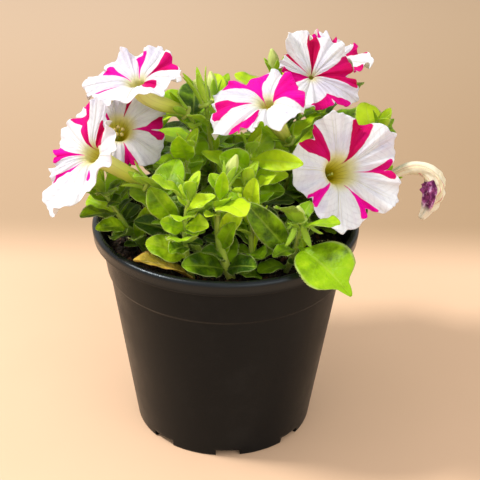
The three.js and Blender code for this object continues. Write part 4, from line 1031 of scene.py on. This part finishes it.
def stem_hairs(skin, points, radii):
    for k in range(len(points) - 1):
        ahead = points[k + 1] - points[k]
        run = np.linalg.norm(ahead)
        count = int(run * 2 * pi * radii[k] / HAIR.spacing ** 2)
        if count < 1:
            continue
        ahead = ahead / run
        angle, share = noise.uniform(0, TURN, count), noise.uniform(0, 1, count)
        normal = ring_of(angle, *sides_of(ahead))
        radius = mix(radii[k], radii[k + 1], share)[:, None]
        add_hairs(skin, points[k] + np.outer(share, ahead * run) + normal * radius, normal)


def add_throat(skin, foot, ahead, flower):
    """The style, its stigma, and the anthers of the bloom that shows them."""
    inside, out = tube_line(flower), bloom_frame(flower)[0]
    places = [foot + ahead * CALYX.height] + [inside.at(t) for t in (0.3, 0.5, 0.65, STYLE.reach)]
    add_rod(skin, places, [STYLE.radius] * len(places), 8, 1, tone=0.9)
    tip = inside.at(STYLE.reach)
    across, above = sides_of(out)
    reaches = (1.6, 2.4, 2.4, 3.0, 3.0) if flower.name == OPEN_THROAT else ()
    for i, reach in enumerate(reaches):
        angle = TURN * i / 5 + 0.5
        ring = across * cos(angle) + above * sin(angle)
        head = tip + out * (2.6 + reach) + ring * 2.1
        stalk = [tip + ring * 1.2, mix(tip, head, 0.5) + ring * 0.6, head]
        add_rod(skin, stalk, [0.28, 0.26, 0.24], 6, 1, tone=0.9)
        knob = [head + out * x for x in (-0.9, -0.5, 0, 0.5, 0.9)]
        add_rod(skin, knob, [0.25, 0.85, 1.05, 0.85, 0.25], 8, 3, tone=0.2)
    forward = unit(inside.at(STYLE.reach + 0.05) - tip)
    add_rod(skin, [tip + forward * x for x in (0, 0.4, 0.8, 1.1)], [0.5, 0.7, 0.75, 0.4], 10, 3, tone=0.8)


def leafy_piece(name, item, steps=18):
    skin = Skin("tone", "under", "size")
    curve, thick, ahead, ending = item.curve, item.thick, item.ahead, item.ending
    down, foot = curve.tangent(0) * -SOIL.stemDepth, curve.at(1)
    shares = [k / steps for k in range(steps + 1)]
    centres = [curve.at(0) + down, curve.at(0) + down * 0.4] + [curve.at(t) for t in shares]
    radii = [thick, thick] + [mix(thick, STEM.tipRadius, t) for t in shares]
    add_rod(skin, centres, radii, 10, 1, ribbed(0.05, 3, 9))
    stem_hairs(skin, centres[2:], radii[2:])
    if ending:
        calyx = [[0, STEM.tipRadius], *CALYX.rings, [CALYX.height + 0.5, 2.4]]
        parts = [(calyx, 10, 14, ribbed(0.06, 5, shift=0.3), 0.5)]
        if ending.rings:
            parts.append(([[1.8, 1.9], *ending.rings], 16, 20, ribbed(*ending.ribs), 0.95))
        for rings, count, sides, swell, tone in parts:
            run, radius = smooth_profile(rings, count)
            add_rod(skin, [foot + ahead * x for x in run], radius, sides, 1, swell, tone=tone)
    if item.flower:
        add_throat(skin, foot, ahead, item.flower)
    for blade, kind in item.blades:
        wide, high = blade.width > WIDE.width, float(blade.tip[2])
        if wide:
            blade.tail = WIDE.tail
        if kind == "sepal":
            tone = 0.55
        elif kind == "young":
            tone = 0.8 + noise.uniform(-0.2, 0.1)
        else:
            # Leaves are painted lighter higher up and darker lower down: partly young growth, partly painted
            # sunlight above and painted shade below. The upper leaves of the shoots in full sun get more
            # painted sunlight
            bright = 0.4 * smoothstep(114, 136, high) if name in SUNLIT_SHOOTS else WIDE.bright * wide
            tone = 0.17 + 0.45 * smoothstep(104, 160, high) + noise.uniform(-0.4, 0.36) + bright
        add_blade(skin, blade, kind, float(np.clip(tone, 0, 1)))
        # Hairs stand out from both edges
        rows = int(blade.length / HAIR.edge_spacing)
        u = np.repeat((np.arange(rows) + 0.5) / rows, 2)
        u = np.clip(u + noise.uniform(-0.4, 0.4, len(u)) / rows, 0.02, 0.985)
        v = np.tile([-1.0, 1.0], rows)
        edge = blade.at(u, v)[0]
        add_hairs(skin, edge, units(edge - blade.at(u, v * 0.8)[0], 1e-9))
    skin.finish("leafy_" + name, LEAFY, "leaf", "shoot_" + name)


for name, item in plant.items():
    leafy_piece(name, item)


def wedge_field(flower, turn, share):
    """How far inside a magenta wedge a place is, in about millimetres, and below zero outside."""
    turn, share = np.broadcast_arrays(turn, share)
    best = np.full(turn.shape, -9.0)
    wide = 7.5 + 25 * share
    for notch, cut, *places in flower.wedges:
        shares, halves, shifts = np.array([(*place, 0)[:3] for place in places]).T / 100
        fold = (turn - notch + 2.5) % 5 - 2.5
        side = np.abs(fold - np.interp(share, shares, shifts))
        inside = (np.interp(share, shares, halves) - side) * wide
        inside = np.minimum(inside, (share - shares[0]) * 22 + 0.25)
        round_end = 0.16 * (side / max(halves)) ** 2 if shares[-1] > 1.03 else 0
        inside = np.minimum(inside, (shares[-1] - round_end - share) * 22)
        if cut:
            slit = 0.03 * np.clip((share - 1 + cut) / cut, 0, 1) - np.clip((1 - cut - share) * 2, 0, 1)
            inside = np.minimum(inside, (np.abs(fold) - slit) * wide)
        best = np.maximum(best, inside)
    return best


def bloom_piece(flower, per=40, tube_rows=10, limb_rows=30):
    name, count = flower.name, 5 * per
    draws = np.random.default_rng(len(name) * 7 + int(abs(flower.throat[0])))
    turn = (np.arange(count) / per)[None, :]
    from_fold = np.abs((turn + 0.5) % 1 - 0.5)
    from_middle = np.abs(turn % 1 - 0.5)
    phases = draws.uniform(0, 6.28, 8)

    def wave(times, k):
        return np.sin(times * (turn * 2 * pi / 5) + phases[k])

    # The margin: a cleft at each fold, a small point at each petal's middle, and uneven between
    uneven = 0.5 + 0.3 * wave(23, 0) + 0.2 * wave(41, 1)
    margin = flower.fold * bell(from_fold, 0.16) - 0.06 * bell(from_fold, 0.03)
    margin = margin - 0.045 * (1 - bell(from_middle, 0.045)) - 0.035 * uneven
    rows = bloom_rows(flower, count, tube_rows, limb_rows, margin[0], flower.opens)
    share = np.append(np.arange(tube_rows) / tube_rows - 1, np.arange(limb_rows + 1) / limb_rows)[:, None]
    limb = np.clip(share, 0, 1)
    # Waves of the edge, and shallow folds that run outwards along the petals
    own = draws.uniform(-1, 1, 5)
    tilt = np.interp(turn, np.arange(6), np.append(own, own[0]))
    frill = 0.5 * wave(17, 2) + 0.35 * wave(29, 3)
    roll = 1.1 * wave(9, 4) + 0.9 * tilt
    folds = (0.28 * wave(47, 5) + 0.72 * wave(24, 6)) * limb * (1.1 - 0.5 * limb)
    hollow = np.sin(pi * np.clip(limb * 0.92 + 0.04, 0, 1))
    crease = -0.55 * bell(from_middle - 0.05, 0.03) * hollow
    seam = -0.5 * bell(from_fold, 0.07) * hollow
    rise = frill * limb ** 4 + roll * limb ** 2.5 + folds + crease + seam
    around = np.roll(rows, -1, 1) - np.roll(rows, 1, 1)
    normal = units(np.cross(np.gradient(rows, axis=0), around), 1e-12)
    if (normal[-4:] @ bloom_frame(flower)[0]).mean() < 0:
        normal = -normal
    front = rows + normal * rise[..., None]
    back = front - normal * mix(0.8, 0.3, limb)[..., None]

    def both(grid):
        grid = np.broadcast_to(grid, front.shape[:2])
        return np.concatenate([grid, grid[::-1]])

    ring = np.concatenate([front, back[::-1]])
    uv = np.stack([both(turn), both(share)], -1)
    hue = np.array(flower.hues)[np.floor(turn + 0.5).astype(int) % 5]
    which = np.repeat([0.0, 1.0], len(front))[:, None]
    skin = Skin("wedge", "back", "tall", "hue")
    skin.grid(ring, uv, caps=False, turn=5, wedge=both(wedge_field(flower, turn, limb)), back=which,
              tall=both(np.clip(share + 1, 0, 1)), hue=both(hue))
    # The two skins meet at the foot of the tube
    skin.grid(ring[[-1, 0]], uv[[-1, 0]], caps=False, turn=5, wedge=-9, back=1, tall=0, hue=0.5)
    skin.finish(name.replace("bloom", "petals"), [PETAL], "petal", name)


for flower in BLOOMS:
    bloom_piece(flower)


def wilted_piece(steps=84, sides=56):
    skin = Skin("along", "limp")
    t = np.arange(steps + 1) / steps
    radius = np.interp(t * (len(WILTED.radii) - 1), np.arange(len(WILTED.radii)), WILTED.radii)
    centres = [wilted_line.at(x) for x in t]
    rings = rings_round(centres, radius, sides, (0, 1, 0), lambda s, a: (
        1 + WILTED.crumple * s * np.sin(5 * a + 9 * s) + 0.035 * np.sin(9 * a)
        + smoothstep(0.5, 0.75, s) * (0.1 * np.sin(11 * a + 40 * s) + 0.09 * np.sin(7 * a - 62 * s))))
    along = np.broadcast_to(t[:, None], rings.shape[:2])
    # Purple where the mouth has shrivelled, on the side that hangs inwards
    outward = (rings - np.array(centres)[:, None]) @ unit(vec([0.85, -0.2, 0.25])) / radius[:, None]
    limp = smoothstep(0.58, 0.7, along) * (1 - smoothstep(-0.05, 0.75, outward + 0.7 * (0.76 - along)))
    skin.grid(rings, rod_uv(rings), along=along, limp=limp)
    skin.finish("wilted_petals", [wilted_material()], "wilted_petal", "bloom_wilted")


def old_leaf_piece():
    skin = Skin("tone", "under", "size")
    add_blade(skin, old_leaf, "large", 0.5)
    foot, root = vec(OLD_LEAF.foot), vec(OLD_LEAF.root)
    add_rod(skin, [foot, mix(foot, root, 0.6), root], [LEAF.stalkWidth / 2] * 3, 8)
    skin.finish("yellow_leaf", [old_leaf_material()], "old_leaf", "old_leaf")


def turned(places, angle, a=0, b=1):
    """Places turned in the plane of two axes."""
    matrix = np.eye(3)
    matrix[a, a] = matrix[b, b] = cos(angle)
    matrix[a, b], matrix[b, a] = sin(angle), -sin(angle)
    return places @ matrix


def pot_piece(sides=144):
    top, lip, band = POT.height, POT.height - POT.lipDrop, POT.height - POT.bandDrop
    rim, base, wall, floor = POT.rimRadius, POT.baseRadius, POT.wallTopRadius, POT.floorLift
    foot, hollow = base - POT.footWidth, rim - POT.rimDepth
    profile = [
        (POT.padRadius, 0), (POT.padRadius + 1.5, floor), (foot - 1, floor), (foot, 0), (base - 0.8, 0),
        (base - 0.25, 0.25), (base, 0.9), (wall - 0.1, band - 1.6), (wall + 0.15, band - 0.8),
        (POT.bandFootRadius - 0.15, band - 0.2), (POT.bandFootRadius, band + 0.3),
        (POT.bandTopRadius - 0.1, lip - 1.1), (POT.bandTopRadius + 0.6, lip - 0.3),
        (POT.lipFootRadius - 0.5, lip), (POT.lipFootRadius + 0.05, lip + 0.4), (rim - 0.03, top - 2.3),
        (rim, top - 1.7), (rim - 0.25, top - 0.9), (rim - 0.8, top - 0.3), (rim - 1.7, top),
        (hollow + 1, top), (hollow + 0.35, top - 0.3), (hollow, top - 1.1),
        (POT.bandTopRadius - POT.wall, lip), (wall - POT.wall, band - 1),
        (INNER_FLOOR + 0.5, FLOOR_TOP + 1.2), (INNER_FLOOR - 1, FLOOR_TOP),
    ]
    # Each profile step gets a narrow row beside its corners, so that edges stay crisp but rounded
    fine = []
    for a, b in zip(profile, profile[1:]):
        run = math.hypot(b[0] - a[0], b[1] - a[1])
        fine.append(a)
        if run > 2.5:
            near = min(0.35 / run, 0.3)
            # Rows just over the notches keep their edges out of the wall's shading
            shares = (near, 0.045, 0.06, 0.3, 0.6, 1 - near) if run > 40 else (near, 1 - near)
            fine += [(mix(a[0], b[0], s), mix(a[1], b[1], s)) for s in shares]
    fine.append(profile[-1])
    angles = [TURN * i / sides for i in range(sides)]
    rings = np.array([[(r * cos(a), r * sin(a), z) for a in angles] for r, z in fine])
    skin = Skin()
    skin.grid(rings, rod_uv(rings))
    piece = skin.finish("pot_moulding", [pot_material()], "pot_plastic", "pot")
    cutters = Skin()

    def block(middle, size, angle, count=4):
        turns = (np.arange(count) + 0.5) * TURN / count
        ring = np.stack([np.cos(turns), np.sin(turns)], -1) * (math.sqrt(2) if count == 4 else 1)
        level = np.full((count, 1), middle[1])
        flat = ring * size[:2] / 2 + (middle[0], 0)
        places = np.array([np.hstack([flat, level + z]) for z in (-size[2] / 2, size[2] / 2)])
        cutters.grid(turned(places, angle), np.zeros((2, count, 2)))

    for i in range(POT.notches):
        block((base, 0), (4 * POT.footWidth, POT.notchWidth, 2 * POT.notchHeight),
              (POT.frontNotchAngle + 360 * i / POT.notches) * DEGREES)
    for i in range(POT.drains):
        block((POT.drainCircle, floor), (2 * POT.drainRadius, 2 * POT.drainRadius, 4 * POT.floorThickness),
              TURN * i / POT.drains, 24)
    tool = linked("cutters", cutters.mesh("cutters"))
    cut = piece.modifiers.new("notches", "BOOLEAN")
    cut.operation, cut.object, cut.solver = "DIFFERENCE", tool, "EXACT"
    made = bpy.data.meshes.new_from_object(piece.evaluated_get(bpy.context.evaluated_depsgraph_get()))
    piece.modifiers.clear()
    piece.data = made
    bpy.data.objects.remove(tool)


def crumbs_piece(total=3000):
    """Crumbs and bark over the soil, each an uneven little stone or chip with twelve corners."""
    golden = (1 + math.sqrt(5)) / 2
    corners = [np.roll((a, b * golden, 0), k) for k in range(3) for b in (1, -1) for a in (-1, 1)]
    corners = np.array(corners) / math.sqrt(1 + golden * golden)
    faces = np.array([
        (0, 11, 5), (0, 5, 1), (0, 1, 7), (0, 7, 10), (0, 10, 11), (1, 5, 9), (5, 11, 4), (11, 10, 2),
        (10, 7, 6), (7, 1, 8), (3, 9, 4), (3, 4, 2), (3, 2, 6), (3, 6, 8), (3, 8, 9), (4, 9, 5),
        (2, 4, 11), (6, 2, 10), (8, 6, 7), (9, 8, 1)])
    skin = Skin("tone")
    edge = pot_inner_radius(SOIL.level) - 1.2
    for k in range(total):
        bark = k % 14 == 0
        far, angle = edge * math.sqrt(noise.uniform(0, 1)), noise.uniform(0, TURN)
        x, y = far * cos(angle), far * sin(angle)
        size = noise.uniform(0.5, 1.5) ** 1.4 * (1.5 if bark else 1)
        shape = noise.uniform((1.2, 0.8, 0.4), (2.6, 1.3, 0.7)) if bark else noise.uniform(0.7, 1.3, 3)
        turn, lean = noise.uniform(0, 6.28), noise.normal(0, 0.3)
        places = corners * (1 + noise.uniform(-0.22, 0.22, (12, 1))) * shape * size
        level = SOIL.level if far > edge - 1 else float(soil_height(x, y))
        places = turned(turned(places, lean, 0, 2), turn) + vec([x, y, level + 0.15 * size])
        # A long chip near the wall is drawn in, so that it stays inside the pot
        places[:, :2] *= min(1, (edge + 0.9) / np.hypot(places[:, 0], places[:, 1]).max())
        skin.loose(places, faces, int(bark), tone=noise.uniform(0, 1))
    materials = [soil_material("soil_crumb", (0.012, 0.008, 0.006), (0.05, 0.028, 0.017)),
                 soil_material("bark_chip", (0.05, 0.02, 0.01), (0.16, 0.06, 0.03))]
    skin.finish("soil_crumbs", materials, "soil", rounded=False)


wilted_piece()
old_leaf_piece()
pot_piece()
crumbs_piece()
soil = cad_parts["soil"].data.materials
soil.clear()
soil.append(soil_material("soil_body", (0.009, 0.006, 0.005), (0.04, 0.022, 0.014)))

# The table top
mesh = bpy.data.meshes.new("table_top")
mesh.from_pydata([(-3, -3, 0), (3, -3, 0), (3, 3, 0), (-3, 3, 0)], [], [(0, 1, 2, 3)])
mesh.materials.append(floor_material())
linked("table_top", mesh)

# Camera: fitted to the pot's rim, band and foot in an image of 480 pixels. Places here are metres
CAMERA = Table(distance=0.6, rise=28.11 * DEGREES, roll=-1.11 * DEGREES, pixels=1216.8, image=480, sensor=36,
               target=(0.0071, 0.0, 0.09821))
level, up = cos(CAMERA.rise), sin(CAMERA.rise)
back, high, right = vec([0, -level, up]), vec([0, up, level]), vec([1, 0, 0])
x = right * cos(CAMERA.roll) - high * sin(CAMERA.roll)
y = right * sin(CAMERA.roll) + high * cos(CAMERA.roll)
lens = bpy.data.cameras.new("photo_camera")
lens.sensor_width, lens.clip_start, lens.clip_end = CAMERA.sensor, 0.05, 20
lens.lens = CAMERA.pixels / CAMERA.image * CAMERA.sensor
eye = linked("photo_camera", lens)
place = vec(CAMERA.target) + back * CAMERA.distance
eye.matrix_world = Matrix((*np.column_stack([x, y, back, place]).tolist(), (0, 0, 0, 1)))
bpy.context.scene.camera = eye

# Lamps: name, place, size, power and colour
for name, place, size, power, colour in (("key", (-0.8, -0.04, 1.15), 0.26, 16.8, (1.0, 0.985, 0.955)),
                                         ("fill", (0.7, -1.0, 0.8), 1.2, 6.2, (1.0, 0.965, 0.92))):
    lamp = bpy.data.lights.new(name, "AREA")
    lamp.shape, lamp.size, lamp.energy, lamp.color = "DISK", size, power, colour
    aim = (Vector((0, 0, 0.1)) - Vector(place)).to_track_quat("-Z", "Y").to_matrix().to_4x4()
    linked(name, lamp).matrix_world = Matrix.Translation(Vector(place)) @ aim

world = bpy.data.worlds.new("studio")
bpy.context.scene.world = world
world.use_nodes = True
sky = world.node_tree.nodes["Background"].inputs
sky["Color"].default_value = (1.0, 0.985, 0.97, 1)
sky["Strength"].default_value = 0.85
bpy.context.scene.view_settings.view_transform = "Standard"
